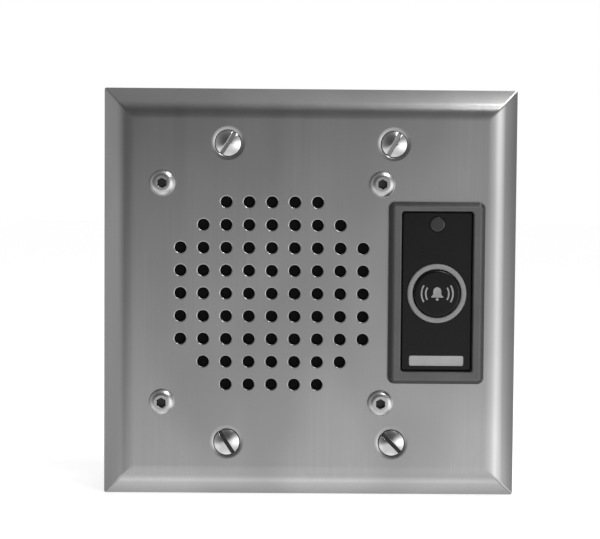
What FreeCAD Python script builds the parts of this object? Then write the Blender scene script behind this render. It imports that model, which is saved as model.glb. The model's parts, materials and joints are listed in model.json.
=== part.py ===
"""Flush call point: a two-gang stainless wall plate with a talk-back speaker
behind a field of round holes and a push-to-call module beside it.

Frame: +X to the right, +Y into the wall, +Z up, millimetres. The origin is the
centre of the plate's rear rim, in the plane that rests on the wall.
"""
import FreeCAD, Part
import math
import os

import Sketcher

os.makedirs("parts", exist_ok=True)
doc = FreeCAD.newDocument("call_point")

# ---------------------------------------------------------------- dimensions
DIMENSIONS = {
    # pressed plate
    "plate_width": 115.9, "plate_height": 114.3, "plate_depth": 5.5, "plate_sheet": 1.0,
    "rim_slope": 43.9, "bend_radius": 3.4,
    "grille_x": -10.7, "hole_pitch": 6.35, "hole_radius": 1.5875,
    # oval-head screws that hold the plate to its box
    "box_screw_width": 46.04, "box_screw_height": 83.34, "oval_radius": 3.55, "oval_crown": 0.95,
    "oval_crown_radius": 7.1, "oval_sink": 1.55, "oval_slope": 41.0,
    "oval_slot": 1.1, "oval_slot_depth": 1.15, "oval_length": 21.0, "root_radius": 1.35,
    "neck_length": 3.3,
    "thread_radius": 1.75, "thread_tip": 0.5, "sink_gap": 0.06, "dimple_radius": 4.9,
    "dimple_depth": 1.1, "overcut": 0.1,
    # button-head screws round the speaker, their spacers and the board pillars
    "ring_screw_span": 61.0, "button_head_radius": 3.6, "button_head_depth": 1.9,
    "button_head_round": 1.7, "socket_flats": 2.5, "socket_depth": 1.3, "ring_screw_length": 9.0,
    "clearance_radius": 1.9, "spacer_radius": 3.5,
    "pillar_flats": 6.35, "pillar_length": 25.0, "tapped_radius": 1.8,
    # pan-head screws
    "pan_radius": 3.0, "pan_depth": 1.8, "pan_round": 0.7, "pan_slot": 0.9, "pan_slot_depth": 0.9,
    "board_screw_length": 6.0,
    # speaker, measured from the front of its rim
    "cloth_radius": 33.0, "cloth_depth": 0.3, "gasket_inner": 30.6, "gasket_depth": 1.2,
    "rim_radius": 33.0, "rim_inner": 28.0, "rim_skirt": 2.2, "basket_sheet": 0.8, "ledge_level": 10.3,
    "ledge_outer": 20.0, "ledge_inner": 15.5, "floor_level": 12.7, "floor_inner": 8.2,
    "window_outer": 27.0, "window_inner": 21.2, "window_side": 7.2, "window_count": 6,
    "cone_outer": 24.4, "cone_lip": 22.8, "cone_neck": 7.05, "cone_depth": 8.6, "cone_sheet": 0.5,
    "roll_outer": 27.7, "surround_outer": 30.2, "surround_sheet": 0.3,
    "dust_radius": 8.4, "dust_rise": 2.6, "dust_seat": 0.9, "dust_sheet": 0.4, "dust_rim": 0.28,
    "coil_inner": 6.5, "coil_outer": 7.0,
    "coil_start": 7.6, "coil_end": 17.4, "spider_inner": 7.1, "spider_outer": 19.2,
    "spider_sheet": 0.3, "spider_wave": 0.6, "spider_pitch": 2.2, "spider_folds": 4,
    "top_plate_radius": 20.5, "top_plate_depth": 2.5, "top_plate_hole": 7.6,
    "magnet_radius": 22.5, "magnet_inner": 11.0, "magnet_depth": 6.0, "magnet_bevel": 0.6,
    "yoke_radius": 20.5, "yoke_depth": 2.5, "pole_radius": 6.1,
    "strip_width": 15.0, "strip_low": 17.2, "strip_high": 27.4, "strip_depth": 1.2,
    "lug_spacing": 8.0, "lug_width": 1.6, "lug_sheet": 0.5, "lug_length": 4.6, "lug_level": 25.2,
    # plate that clamps the speaker rim
    "clamp_sheet": 1.2, "clamp_opening": 29.6, "clamp_half": 35.5, "clamp_waist": 33.3,
    "clamp_ear": 35.6, "clamp_ear_level": 25.6, "clamp_corner": 4.0,
    # main circuit board and what stands on it
    "board_side": 70.0, "board_sheet": 1.6, "board_corner": 2.5,
    "block_width": 20.4, "block_height": 9.0, "block_depth": 10.2, "block_level": -27.5,
    "block_pitch": 5.08, "well_radius": 1.95, "well_depth": 5.0, "entry_width": 3.4,
    "entry_depth": 3.6, "entry_run": 5.5, "entry_centre": 3.2, "clamp_screw_radius": 1.85,
    "clamp_screw_length": 3.2,
    "core_width": 24.0, "core_height": 10.0, "core_depth": 15.0, "core_x": -19.0, "core_level": 15.0,
    "winding_width": 14.8, "winding_height": 18.8, "winding_round": 2.5, "leg_width": 6.0,
    "core_yoke": 3.0, "core_fit": 0.1,
    "can_radius": 5.0, "can_length": 16.0, "can_round": 0.6, "can_spacing": 12.4, "can_x": 14.5,
    "can_level": 16.0, "can_score": 0.5, "can_score_depth": 0.3, "can_groove_level": 1.7,
    "can_groove_half": 0.5, "can_groove_depth": 0.45,
    "chip_width": 6.4, "chip_height": 9.6, "chip_depth": 3.3, "chip_lift": 0.6, "chip_x": -1.0,
    "chip_level": 3.0, "pin_pitch": 2.54, "pin_width": 0.5, "pin_sheet": 0.3, "pin_reach": 1.1,
    "chip_notch": 0.8, "chip_notch_depth": 0.4,
    "trimmer_side": 9.6, "trimmer_depth": 4.8, "trimmer_x": -26.0, "trimmer_level": -12.0,
    "trimmer_well_depth": 2.0, "rotor_radius": 3.2, "rotor_fit": 0.06, "rotor_depth": 2.2,
    "rotor_gap": 0.1, "rotor_slot": 0.9, "rotor_slot_length": 5.2, "rotor_slot_depth": 0.8,
    "rotor_mark": 1.94, "rotor_mark_width": 0.54, "rotor_mark_length": 1.0,
    "resistor_radius": 1.15, "resistor_length": 6.4, "resistor_waist": 0.95, "resistor_lift": 1.45,
    "resistor_pitch": 3.6, "resistor_x": -9.0, "resistor_level": -13.0, "resistor_lead": 0.3,
    "resistor_leg": 0.36, "resistor_span": 10.2, "resistor_cap": 1.4, "resistor_step": 0.5,
    # button module, measured from the front of the plate
    "module_x": 35.1, "module_level": 0.45, "bezel_width": 26.7, "bezel_height": 50.6, "bezel_edge": 0.5,
    "bezel_rise": 2.1, "bezel_slope": 35.5, "bezel_corner": 1.8, "bezel_lip_round": 0.35,
    "housing_width": 24.0, "housing_height": 47.4, "housing_depth": 18.0, "housing_wall": 1.6,
    "housing_corner": 1.0, "housing_fit": 0.2, "web": 1.4,
    "recess_width": 19.2, "recess_height": 43.8, "recess_lift": 0.5, "recess_slope": 10.0,
    "gasket_sheet": 0.5, "gasket_width": 26.1, "gasket_height": 50.0,
    "panel_fit": 0.1, "insert_fit": 0.05, "panel_sheet": 1.2, "panel_corner": 0.5,
    "ring_outer": 8.2, "ring_inner": 6.7, "ring_depth": 1.9, "ring_round": 0.5,
    "button_radius": 6.5, "button_front": 2.8, "button_round": 0.7, "button_shoulder": 1.8,
    "shoulder_radius": 7.7, "shoulder_depth": 1.0, "stem_radius": 3.0, "stem_end": 10.5,
    "symbol_depth": 0.2, "bell_height": 3.9, "bell_width": 3.6, "wave_sheet": 0.45, "wave_start": 3.2,
    "wave_step": 1.15, "wave_half_angle": 32.0,
    "seal_inner": 6.85, "seal_outer": 7.85, "seal_depth": 0.5,
    "guide_inner": 8.0, "guide_outer": 9.2, "guide_floor": 8.1, "guide_end": 9.3, "guide_bore": 3.2,
    "spring_radius": 4.6, "spring_wire": 0.3, "spring_turns": 4.5, "spring_gap": 0.05,
    "label_width": 15.1, "label_height": 2.8, "label_sheet": 0.3, "label_level": -18.75,
    "label_corner": 0.5,
    "led_level": 19.2, "lens_radius": 2.1, "lens_depth": 1.55, "lens_round": 0.4, "led_radius": 1.5,
    "led_tip": 0.4, "led_length": 5.2, "led_collar": 1.9, "led_collar_depth": 1.0,
    "led_hole": 1.65, "led_lead": 0.5, "led_lead_spacing": 2.54,
    "post_x": 7.0, "post_level": 14.0, "post_radius": 2.5, "post_bore": 1.25, "post_bore_depth": 8.0,
    "boss_x": 7.2, "boss_width": 6.4, "boss_height": 4.4, "boss_depth": 8.4,
    "boss_root": 0.2, "boss_bore": 1.25,
    "boss_bore_depth": 5.3, "clip_screw_level": 5.8,
    "post_end": 17.9, "switch_board_width": 20.0, "switch_board_height": 43.4,
    "switch_side": 8.2, "switch_depth": 5.5, "switch_bore": 1.9, "switch_bore_depth": 4.5,
    "joint_x": 5.74, "joint_level": 4.92, "joint_radius": 0.8, "joint_tip": 0.35,
    "joint_rise": 1.0, "plunger_radius": 1.7, "plunger_gap": 0.15, "plunger_length": 4.3,
    "small_pan_radius": 2.3, "small_pan_depth": 1.5, "small_pan_round": 0.5, "small_slot": 0.7,
    "small_slot_depth": 0.7, "small_thread": 1.2, "small_clearance": 1.4,
    "module_screw_length": 7.0, "clip_screw_length": 4.8,
    "clip_width": 19.0, "clip_sheet": 1.0, "clip_leg": 10.0, "clip_foot": 6.8,
    "socket_width": 4.2, "socket_height": 7.0, "plug_depth": 3.4,
    "ribbon_height": 5.2, "ribbon_sheet": 0.9, "ribbon_bend": 4.0, "ribbon_x": -3.9, "ribbon_level": 7.7,
    "header_x": 18.9, "header_depth": 6.4, "ribbon_entry": 3.84,
    "lead_radius": 0.6, "lead_bow": 2.6, "lead_bend": 1.4,
}

sheet = doc.addObject("Spreadsheet::Sheet", "dims")
for row, (alias, number) in enumerate(DIMENSIONS.items(), start=1):
    sheet.set("A%d" % row, alias)
    sheet.set("B%d" % row, str(number))
    sheet.setAlias("B%d" % row, alias)
doc.recompute()

SUBPARTS = []
VECTOR = FreeCAD.Vector

# ------------------------------------------------------------------- stations
# y of the main planes, as expressions over the sheet
FACE = "-dims.plate_depth"
INNER = "dims.plate_sheet - dims.plate_depth"
SPEAKER_FRONT = INNER + " + dims.cloth_depth + dims.gasket_depth"
CLAMP_FRONT = SPEAKER_FRONT + " + dims.basket_sheet"
CLAMP_REAR = CLAMP_FRONT + " + dims.clamp_sheet"
BOARD_FRONT = CLAMP_REAR + " + dims.pillar_length"
BOARD_REAR = BOARD_FRONT + " + dims.board_sheet"
SWITCH_BOARD_REAR = "dims.post_end + dims.board_sheet"
# a cross recess is this much of its head's radius long
RECESS_LENGTH = "1.15 * "


# -------------------------------------------------------------------- helpers
def value(expression):
    """Number that an expression over the sheet has now."""
    return float(sheet.evalExpression(expression))


def new_body(label, x="0", y="0", z="0"):
    """A sub-part, placed by expressions; its Label names its file."""
    body = doc.addObject("PartDesign::Body", label)
    body.Label = label
    body.AllowCompound = True
    for axis, expression in (("x", x), ("y", y), ("z", z)):
        body.setExpression(".Placement.Base." + axis, expression)
    SUBPARTS.append(body)
    return body


def origin(body, role):
    """Origin plane or axis of a body."""
    return next(item for item in body.Origin.OriginFeatures if item.Role == role)


def new_sketch(body, name, role="XZ_Plane", level="0"):
    """Sketch parallel to an origin plane. An XZ sketch is seen from the front, along +Y."""
    sketch = body.newObject("Sketcher::SketchObject", name)
    sketch.AttachmentSupport = [(origin(body, role), "")]
    sketch.MapMode = "FlatFace"
    outward = "-(%s)" if role == "XZ_Plane" else "%s"
    sketch.setExpression(".AttachmentOffset.Base.z", outward % level)
    return sketch


def bind_point(sketch, edge, vertex, x, y):
    """Hold one end or centre of an edge at a place given by two expressions."""
    for kind, expression in (("DistanceX", x), ("DistanceY", y)):
        held = Sketcher.Constraint(kind, -1, 1, edge, vertex, value(expression))
        index = sketch.addConstraint(held)
        sketch.setExpression("Constraints[%d]" % index, expression)


def bind_radius(sketch, edge, radius):
    index = sketch.addConstraint(Sketcher.Constraint("Radius", edge, value(radius)))
    sketch.setExpression("Constraints[%d]" % index, radius)


def arc_between(start, end, radius, turn):
    """Arc from start to end that turns left (+1) or right (-1), the short way."""
    chord = end - start
    rise = math.sqrt(max(radius ** 2 - chord.Length ** 2 / 4, 0.0))
    sideways = VECTOR(-chord.y, chord.x, 0).normalize() * rise * turn
    centre = (start + end) / 2 + sideways
    angles = [math.atan2(point.y - centre.y, point.x - centre.x) for point in (start, end)]
    if turn < 0:
        angles.reverse()
    return Part.ArcOfCircle(Part.Circle(centre, VECTOR(0, 0, 1), radius), *angles)


def outline(sketch, points, closed=True):
    """Chain of edges through points (x, y), each point held by expressions.

    A point written (x, y, radius, turn) starts an arc instead of a line.
    """
    places = [VECTOR(value(point[0]), value(point[1]), 0) for point in points]
    count = len(points) if closed else len(points) - 1
    ends = []
    for index in range(count):
        start, end = places[index], places[(index + 1) % len(points)]
        if len(points[index]) == 4:
            radius, turn = points[index][2:]
            edge = sketch.addGeometry(arc_between(start, end, value(radius), turn), False)
            ends.append((edge, 1, 2) if turn > 0 else (edge, 2, 1))
            bind_radius(sketch, edge, radius)
        else:
            edge = sketch.addGeometry(Part.LineSegment(start, end), False)
            ends.append((edge, 1, 2))
    for index in range(count):
        following = (index + 1) % count
        if closed or index + 1 < count:
            tail, head = ends[index], ends[following]
            sketch.addConstraint(Sketcher.Constraint("Coincident", tail[0], tail[2], head[0], head[1]))
        bind_point(sketch, ends[index][0], ends[index][1], *points[index][:2])
    if not closed:
        bind_point(sketch, ends[-1][0], ends[-1][2], *points[-1][:2])


def rectangle(sketch, x, y, width, height, corner=None):
    """Rectangle about a centre, with quarter-round corners if a corner radius is given."""
    points = []
    for i, j in ((-1, -1), (1, -1), (1, 1), (-1, 1)):
        across, up = "%s + %d * (%s) / 2" % (x, i, width), "%s + %d * (%s) / 2" % (y, j, height)
        if corner:
            along_y = (across, "%s - %d * %s" % (up, j, corner))
            along_x = ("%s - %d * %s" % (across, i, corner), up)
            start, end = (along_y, along_x) if i == j else (along_x, along_y)
            points += [start + (corner, 1), end]
        else:
            points.append((across, up))
    outline(sketch, points)


def circle(sketch, x, y, radius):
    centre = VECTOR(value(x), value(y), 0)
    edge = sketch.addGeometry(Part.Circle(centre, VECTOR(0, 0, 1), value(radius)), False)
    bind_point(sketch, edge, 3, x, y)
    bind_radius(sketch, edge, radius)


def hexagon(sketch, x, y, flats):
    outline(sketch, [("%s + (%s) / cos(30) / 2 * cos(%d)" % (x, flats, turn),
                      "%s + (%s) / cos(30) / 2 * sin(%d)" % (y, flats, turn))
                     for turn in range(30, 390, 60)])


def slot(sketch, x, y, width, length, angle):
    """Rectangle turned by an angle in degrees about its own centre."""
    corners = ((-1, -1), (1, -1), (1, 1), (-1, 1))
    along, across = "(%s) / 2" % length, "(%s) / 2" % width
    outline(sketch, [
        ("%s + %d * %s * cos(%g) - %d * %s * sin(%g)" % (x, i, along, angle, j, across, angle),
         "%s + %d * %s * sin(%g) + %d * %s * cos(%g)" % (y, i, along, angle, j, across, angle))
        for i, j in corners])


def add(body, kind, name):
    """New feature of a body, such as a Pad or a Pocket."""
    return body.newObject("PartDesign::" + kind, name)


def pad(body, sketch, name, depth, forward=False, taper=None, symmetric=False):
    """Solid on a sketch, into the wall unless forward."""
    feature = add(body, "Pad", name)
    feature.Profile = sketch
    feature.setExpression("Length", depth)
    feature.Reversed = not forward
    if taper:
        feature.setExpression("TaperAngle", taper)
    if symmetric:
        feature.SideType = "Symmetric"
    doc.recompute()
    return feature


def pocket(body, sketch, name, depth=None, forward=False, taper=None):
    """Cut from a sketch, into the wall unless forward, right through with no depth."""
    before = body.Shape.Volume
    feature = add(body, "Pocket", name)
    feature.Profile = sketch
    feature.Reversed = forward
    if depth:
        feature.setExpression("Length", depth)
    else:
        feature.Type = "ThroughAll"
    if taper:
        feature.setExpression("TaperAngle", taper)
    doc.recompute()
    assert feature.Shape.Volume < before, "%s.%s cuts nothing" % (body.Label, name)
    return feature


def turn(body, points, name="turned", role="XY_Plane", axis="V_Axis"):
    """Solid turned about the sketch's own axis; the default axis runs into the wall."""
    sketch = new_sketch(body, name + "_profile", role)
    outline(sketch, points)
    feature = add(body, "Revolution", name)
    feature.Profile = sketch
    feature.ReferenceAxis = (sketch, [axis])
    feature.Angle = 360
    doc.recompute()
    return feature


def edges_where(feature, test):
    return ["Edge%d" % number for number, edge in enumerate(feature.Shape.Edges, start=1) if test(edge)]


def level_edges(feature, level):
    """Edges that lie wholly in the plane at y = level."""
    y = value(level)
    return edges_where(feature, lambda edge: abs(edge.BoundBox.YMin - y) < 1e-3
                       and abs(edge.BoundBox.YMax - y) < 1e-3)


def fillet(body, feature, name, edges, radius):
    rounded = add(body, "Fillet", name)
    rounded.Base = (feature, edges)
    rounded.setExpression("Radius", radius)
    doc.recompute()
    return rounded


def spread(body, width=None, height=None, name="pattern", columns=2, rows=2):
    """Repeat a whole body across X and up Z, as separate solids."""
    pattern = add(body, "MultiTransform", name)
    pattern.TransformMode = "Whole shape"
    steps = []
    for role, span, count in (("X_Axis", width, columns), ("Z_Axis", height, rows)):
        if span:
            step = add(body, "LinearPattern", name + "_" + role[0].lower())
            step.Direction = (origin(body, role), [""])
            step.setExpression("Length", span)
            step.Occurrences = count
            steps.append(step)
    pattern.Transformations = steps
    body.Tip = pattern
    doc.recompute()
    return pattern


def mirror(body, role, name="mirrored"):
    """The whole body again on the other side of an origin plane."""
    reflected = add(body, "Mirrored", name)
    reflected.TransformMode = "Whole shape"
    reflected.MirrorPlane = (origin(body, role), [""])
    body.Tip = reflected
    doc.recompute()
    return reflected


def half_back(centre, span):
    """Where the first of a pair of places starts, so that the pair straddles a centre."""
    return "%s - %s / 2" % (centre, span)


def button_profile(head, depth, roundness, thread, length, way=1):
    """Half section of a screw with a round-edged head; way is +1 with the shank into the wall."""
    flat = "%s - %s" % (head, roundness)
    side = "0.85 * " + roundness
    sign = "" if way > 0 else "-"
    y = lambda expression: "%s(%s)" % (sign, expression)
    return [("0", y("-" + depth)),
            (flat, y("-" + depth), roundness, way),
            (head, y("-%s + %s" % (depth, side))),
            (head, "0"),
            (thread, "0"),
            (thread, y(length + " - dims.thread_tip")),
            (thread + " - dims.thread_tip", y(length)),
            ("0", y(length))]


# ------------------------------------------------------------ pressed faceplate
def hole_rows(count=9, corner=2):
    """Columns and rows of a square field of holes with its corners cut off, from its centre."""
    half = count // 2
    for row in range(-half, half + 1):
        reach = half - max(0, abs(row) - half + corner)
        for column in range(-reach, reach + 1):
            yield column, row


def box_screw_places():
    for i in (-1, 1):
        for j in (-1, 1):
            yield "%d * dims.box_screw_width / 2" % i, "%d * dims.box_screw_height / 2" % j


def ring_screw_places(centre="dims.grille_x"):
    for i in (-1, 1):
        for j in (-1, 1):
            yield "%s + %d * dims.ring_screw_span / 2" % (centre, i), "%d * dims.ring_screw_span / 2" % j


def make_faceplate():
    """Pressed pan: flat face, sloped mitred rim, dimpled screw seats, holes and cut-out."""
    body = new_body("faceplate")
    wall = "dims.plate_sheet / cos(dims.rim_slope)"
    inside = "dims.plate_depth - dims.plate_sheet"

    rim = new_sketch(body, "rim_outline")
    rectangle(rim, "0", "0", "dims.plate_width", "dims.plate_height")
    pan = pad(body, rim, "pan", "dims.plate_depth", forward=True, taper="-dims.rim_slope")
    fillet(body, pan, "bends", level_edges(pan, FACE), "dims.bend_radius")

    hollow = new_sketch(body, "hollow_outline")
    rectangle(hollow, "0", "0", "dims.plate_width - 2 * (%s)" % wall, "dims.plate_height - 2 * (%s)" % wall)
    inner = pocket(body, hollow, "hollow", inside, forward=True, taper="-dims.rim_slope")
    fillet(body, inner, "inner_bends", level_edges(inner, INNER), "dims.bend_radius - dims.plate_sheet")

    dimples = new_sketch(body, "dimple_rings", level=INNER)
    sinks = new_sketch(body, "sink_rings", level=FACE)
    necks = new_sketch(body, "neck_rings", level=FACE)
    for x, z in box_screw_places():
        circle(dimples, x, z, "dims.dimple_radius")
        circle(sinks, x, z, "dims.oval_radius + dims.sink_gap")
        circle(necks, x, z, "dims.clearance_radius")
    pad(body, dimples, "dimples", "dims.dimple_depth", taper="-45")
    pocket(body, sinks, "countersinks", "dims.oval_sink", taper="-dims.oval_slope")
    pocket(body, necks, "neck_holes")

    field = new_sketch(body, "hole_field", level=FACE)
    for column, row in hole_rows():
        circle(field, "dims.grille_x + %d * dims.hole_pitch" % column, "%d * dims.hole_pitch" % row,
               "dims.hole_radius")
    pocket(body, field, "speaker_holes")

    ring_holes = new_sketch(body, "ring_screw_holes", level=FACE)
    for x, z in ring_screw_places():
        circle(ring_holes, x, z, "dims.clearance_radius")
    pocket(body, ring_holes, "screw_holes")

    window = new_sketch(body, "module_window", level=FACE)
    rectangle(window, "dims.module_x", "dims.module_level", "dims.housing_width + 2 * dims.housing_fit",
              "dims.housing_height + 2 * dims.housing_fit", "dims.housing_corner")
    pocket(body, window, "cut_out")


def make_mounting_screws(slot_angles=(-58, 58, -46, 62)):
    """Oval-head slotted screws with a plain neck, left where they stopped turning."""
    body = new_body("mounting_screws", half_back("0", "dims.box_screw_width"), FACE,
                    half_back("0", "dims.box_screw_height"))
    sink = "dims.oval_sink * tan(dims.oval_slope)"
    turn(body, [("0", "-dims.oval_crown", "dims.oval_crown_radius", 1),
                ("dims.oval_radius", "0"),
                ("dims.oval_radius - %s" % sink, "dims.oval_sink"),
                ("dims.root_radius", "dims.oval_sink"),
                ("dims.root_radius", "dims.neck_length"),
                ("dims.thread_radius", "dims.neck_length + dims.thread_radius - dims.root_radius"),
                ("dims.thread_radius", "dims.oval_length - dims.thread_tip"),
                ("dims.thread_radius - dims.thread_tip", "dims.oval_length"),
                ("0", "dims.oval_length")])
    spread(body, "dims.box_screw_width", "dims.box_screw_height")
    slots = new_sketch(body, "slots", level="-dims.oval_crown - dims.overcut")
    places = [(i, j) for i in (0, 1) for j in (0, 1)]
    for (i, j), angle in zip(places, slot_angles):
        slot(slots, "%d * dims.box_screw_width" % i, "%d * dims.box_screw_height" % j,
             "dims.oval_slot", "2.3 * dims.oval_radius", angle)
    body.Tip = pocket(body, slots, "driver_slots", "dims.oval_slot_depth + dims.overcut")


def make_speaker_screws():
    """Button-head socket screws that clamp the speaker from the front."""
    body = new_body("speaker_screws", half_back("dims.grille_x", "dims.ring_screw_span"), FACE,
                    half_back("0", "dims.ring_screw_span"))
    turn(body, button_profile("dims.button_head_radius", "dims.button_head_depth", "dims.button_head_round",
                              "dims.thread_radius", "dims.ring_screw_length"))
    socket = new_sketch(body, "socket", level="-dims.button_head_depth - dims.overcut")
    hexagon(socket, "0", "0", "dims.socket_flats")
    pocket(body, socket, "hex_socket", "dims.socket_depth + dims.overcut")
    spread(body, "dims.ring_screw_span", "dims.ring_screw_span")


def tube_group(label, y, radius, bore, length, flats=False):
    """Four round or hexagonal tubes on the speaker screws."""
    body = new_body(label, half_back("dims.grille_x", "dims.ring_screw_span"), y,
                    half_back("0", "dims.ring_screw_span"))
    ring = new_sketch(body, "section")
    if flats:
        hexagon(ring, "0", "0", radius)
    else:
        circle(ring, "0", "0", radius)
    circle(ring, "0", "0", bore)
    pad(body, ring, "tube", length)
    spread(body, "dims.ring_screw_span", "dims.ring_screw_span")


# --------------------------------------------------------------------- speaker
def speaker_body(label, level="0"):
    return new_body(label, "dims.grille_x", SPEAKER_FRONT + " + " + level)


def ring_profile(inner, outer, low, high):
    """Section of a plain ring."""
    return [(inner, low), (outer, low), (outer, high), (inner, high)]


def make_front_seals():
    """Black cloth behind the holes and the foam ring that seals the speaker to the plate."""
    cloth = new_body("acoustic_cloth", "dims.grille_x", INNER)
    disc = new_sketch(cloth, "disc")
    circle(disc, "0", "0", "dims.cloth_radius")
    pad(cloth, disc, "sheet", "dims.cloth_depth")
    gasket = new_body("speaker_gasket", "dims.grille_x", INNER + " + dims.cloth_depth")
    turn(gasket, ring_profile("dims.gasket_inner", "dims.rim_radius", "0", "dims.gasket_depth"))


def make_basket():
    """Pressed steel frame: flat rim, sloped windowed wall, spider ledge and floor."""
    body = speaker_body("speaker_basket")
    wall = "dims.basket_sheet"
    turn(body, [("dims.rim_inner", "0"), ("dims.rim_radius", "0"), ("dims.rim_radius", wall),
                ("dims.rim_inner + %s" % wall, wall),
                ("dims.rim_inner + %s" % wall, "dims.rim_skirt"),
                ("dims.ledge_outer", "dims.ledge_level + %s" % wall),
                ("dims.ledge_inner + %s" % wall, "dims.ledge_level + %s" % wall),
                ("dims.ledge_inner + %s" % wall, "dims.floor_level + %s" % wall),
                ("dims.floor_inner", "dims.floor_level + %s" % wall),
                ("dims.floor_inner", "dims.floor_level"),
                ("dims.ledge_inner", "dims.floor_level"),
                ("dims.ledge_inner", "dims.ledge_level"),
                ("dims.ledge_outer - %s / 2" % wall, "dims.ledge_level"),
                ("dims.rim_inner", "dims.rim_skirt - %s / 2" % wall)], name="pressing")
    window = new_sketch(body, "window", level="0.5 * %s" % wall)
    half, near, far = "dims.window_side", "dims.window_inner", "dims.window_outer"
    outline(window, [("-0.72 * %s" % half, near), ("0.72 * %s" % half, near), (half, "0.96 * " + far),
                     ("0", far), ("-" + half, "0.96 * " + far)])
    cut = pocket(body, window, "window_cut", "dims.ledge_level")
    pattern = add(body, "PolarPattern", "windows")
    pattern.Originals = [cut]
    pattern.Axis = (origin(body, "Y_Axis"), [""])
    pattern.Angle = 360
    pattern.setExpression("Occurrences", "dims.window_count")
    body.Tip = pattern
    doc.recompute()


def make_cone():
    """Paper cone with a flat edge for the surround."""
    body = speaker_body("speaker_cone")
    skin = "dims.cone_sheet"
    turn(body, [("dims.cone_lip", "0"), ("dims.cone_outer", "0"), ("dims.cone_outer", skin),
                ("dims.cone_lip - %s / 2" % skin, skin),
                ("dims.cone_neck + " + skin, "dims.cone_depth"), ("dims.cone_neck", "dims.cone_depth")])


def make_dust_cap():
    """Shallow dome glued over the neck of the cone."""
    body = speaker_body("dust_cap", "dims.cone_depth - dims.dust_seat")
    rise, radius = "dims.dust_rise", "dims.dust_radius"
    crown = "(%s ^ 2 + %s ^ 2) / (2 * %s)" % (radius, rise, rise)
    turn(body, [("0", "-" + rise, crown, 1), (radius, "0"),
                (radius + " - dims.dust_sheet", "dims.dust_rim", crown, -1),
                ("0", "dims.dust_sheet - " + rise)])


def make_surround():
    """Half-roll suspension between the basket rim and the cone, bulging to the rear."""
    body = speaker_body("cone_surround", "-dims.surround_sheet")
    skin, inner, outer = "dims.surround_sheet", "dims.cone_outer", "dims.roll_outer"
    middle = "(%s + %s) / 2" % (inner, outer)
    rear = "(%s - %s) / 2" % (outer, inner)
    front = "%s - %s" % (rear, skin)
    turn(body, [("dims.cone_lip", "0"), (inner + " + " + skin, "0"),
                (inner + " + " + skin, skin, front, -1),
                (middle, rear, front, -1),
                (outer + " - " + skin, skin), (outer + " - " + skin, "0"),
                ("dims.surround_outer", "0"), ("dims.surround_outer", skin),
                (outer, skin, rear, 1),
                (middle, "%s + %s" % (rear, skin), rear, 1),
                (inner, skin), ("dims.cone_lip", skin)])


def make_spider():
    """Corrugated disc that centres the voice coil."""
    body = speaker_body("coil_spider", "dims.ledge_level - dims.spider_sheet")
    folds = round(value("dims.spider_folds"))
    near, skin, wave = "dims.spider_inner", "dims.spider_sheet", "dims.spider_wave"
    front = [(near, "0")]
    for fold in range(folds):
        start = "%s + (%d + 0.5) * dims.spider_pitch" % (near, fold)
        front += [(start, "0"), (start + " + dims.spider_pitch / 3", "-" + wave),
                  (start + " + dims.spider_pitch * 2 / 3", "0")]
    front.append(("dims.spider_outer", "0"))
    rear = [(x, "%s + %s" % (y, skin)) for x, y in reversed(front)]
    turn(body, front + rear)


def make_motor():
    """Voice coil and the magnet circuit behind the basket."""
    coil = speaker_body("voice_coil")
    turn(coil, ring_profile("dims.coil_inner", "dims.coil_outer", "dims.coil_start", "dims.coil_end"))

    plate_front = "dims.floor_level + dims.basket_sheet"
    plate = speaker_body("magnet_top_plate", plate_front)
    turn(plate, ring_profile("dims.top_plate_hole", "dims.top_plate_radius", "0", "dims.top_plate_depth"))

    magnet_front = plate_front + " + dims.top_plate_depth"
    magnet = speaker_body("speaker_magnet", magnet_front)
    ring = turn(magnet, ring_profile("dims.magnet_inner", "dims.magnet_radius", "0", "dims.magnet_depth"))
    rims = edges_where(ring, lambda edge: edge.BoundBox.XLength > 2 * value("dims.magnet_radius") - 0.1)
    bevel = add(magnet, "Chamfer", "bevels")
    bevel.Base = (ring, rims)
    bevel.setExpression("Size", "dims.magnet_bevel")

    yoke = speaker_body("magnet_yoke", magnet_front + " + dims.magnet_depth")
    reach = "-(dims.magnet_depth + dims.top_plate_depth)"
    cut = "dims.magnet_bevel"
    turn(yoke, [("0", reach), ("dims.pole_radius - " + cut, reach),
                ("dims.pole_radius", "%s + %s" % (reach, cut)),
                ("dims.pole_radius", "0"), ("dims.yoke_radius", "0"),
                ("dims.yoke_radius", "dims.yoke_depth - " + cut),
                ("dims.yoke_radius - " + cut, "dims.yoke_depth"), ("0", "dims.yoke_depth")])


def make_terminal_strip():
    """Fibre strip on the back of the basket with two solder lugs."""
    rear = "dims.ledge_level + dims.basket_sheet"
    strip = speaker_body("terminal_strip", rear)
    sketch = new_sketch(strip, "strip")
    rectangle(sketch, "0", "(dims.strip_low + dims.strip_high) / 2", "dims.strip_width",
              "dims.strip_high - dims.strip_low")
    pad(strip, sketch, "plate", "dims.strip_depth")
    lugs = new_body("solder_lugs", half_back("dims.grille_x", "dims.lug_spacing"),
                    SPEAKER_FRONT + " + %s + dims.strip_depth" % rear, "dims.lug_level")
    sketch = new_sketch(lugs, "tab")
    rectangle(sketch, "0", "0", "dims.lug_width", "dims.lug_sheet")
    pad(lugs, sketch, "blade", "dims.lug_length")
    spread(lugs, width="dims.lug_spacing")


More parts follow.
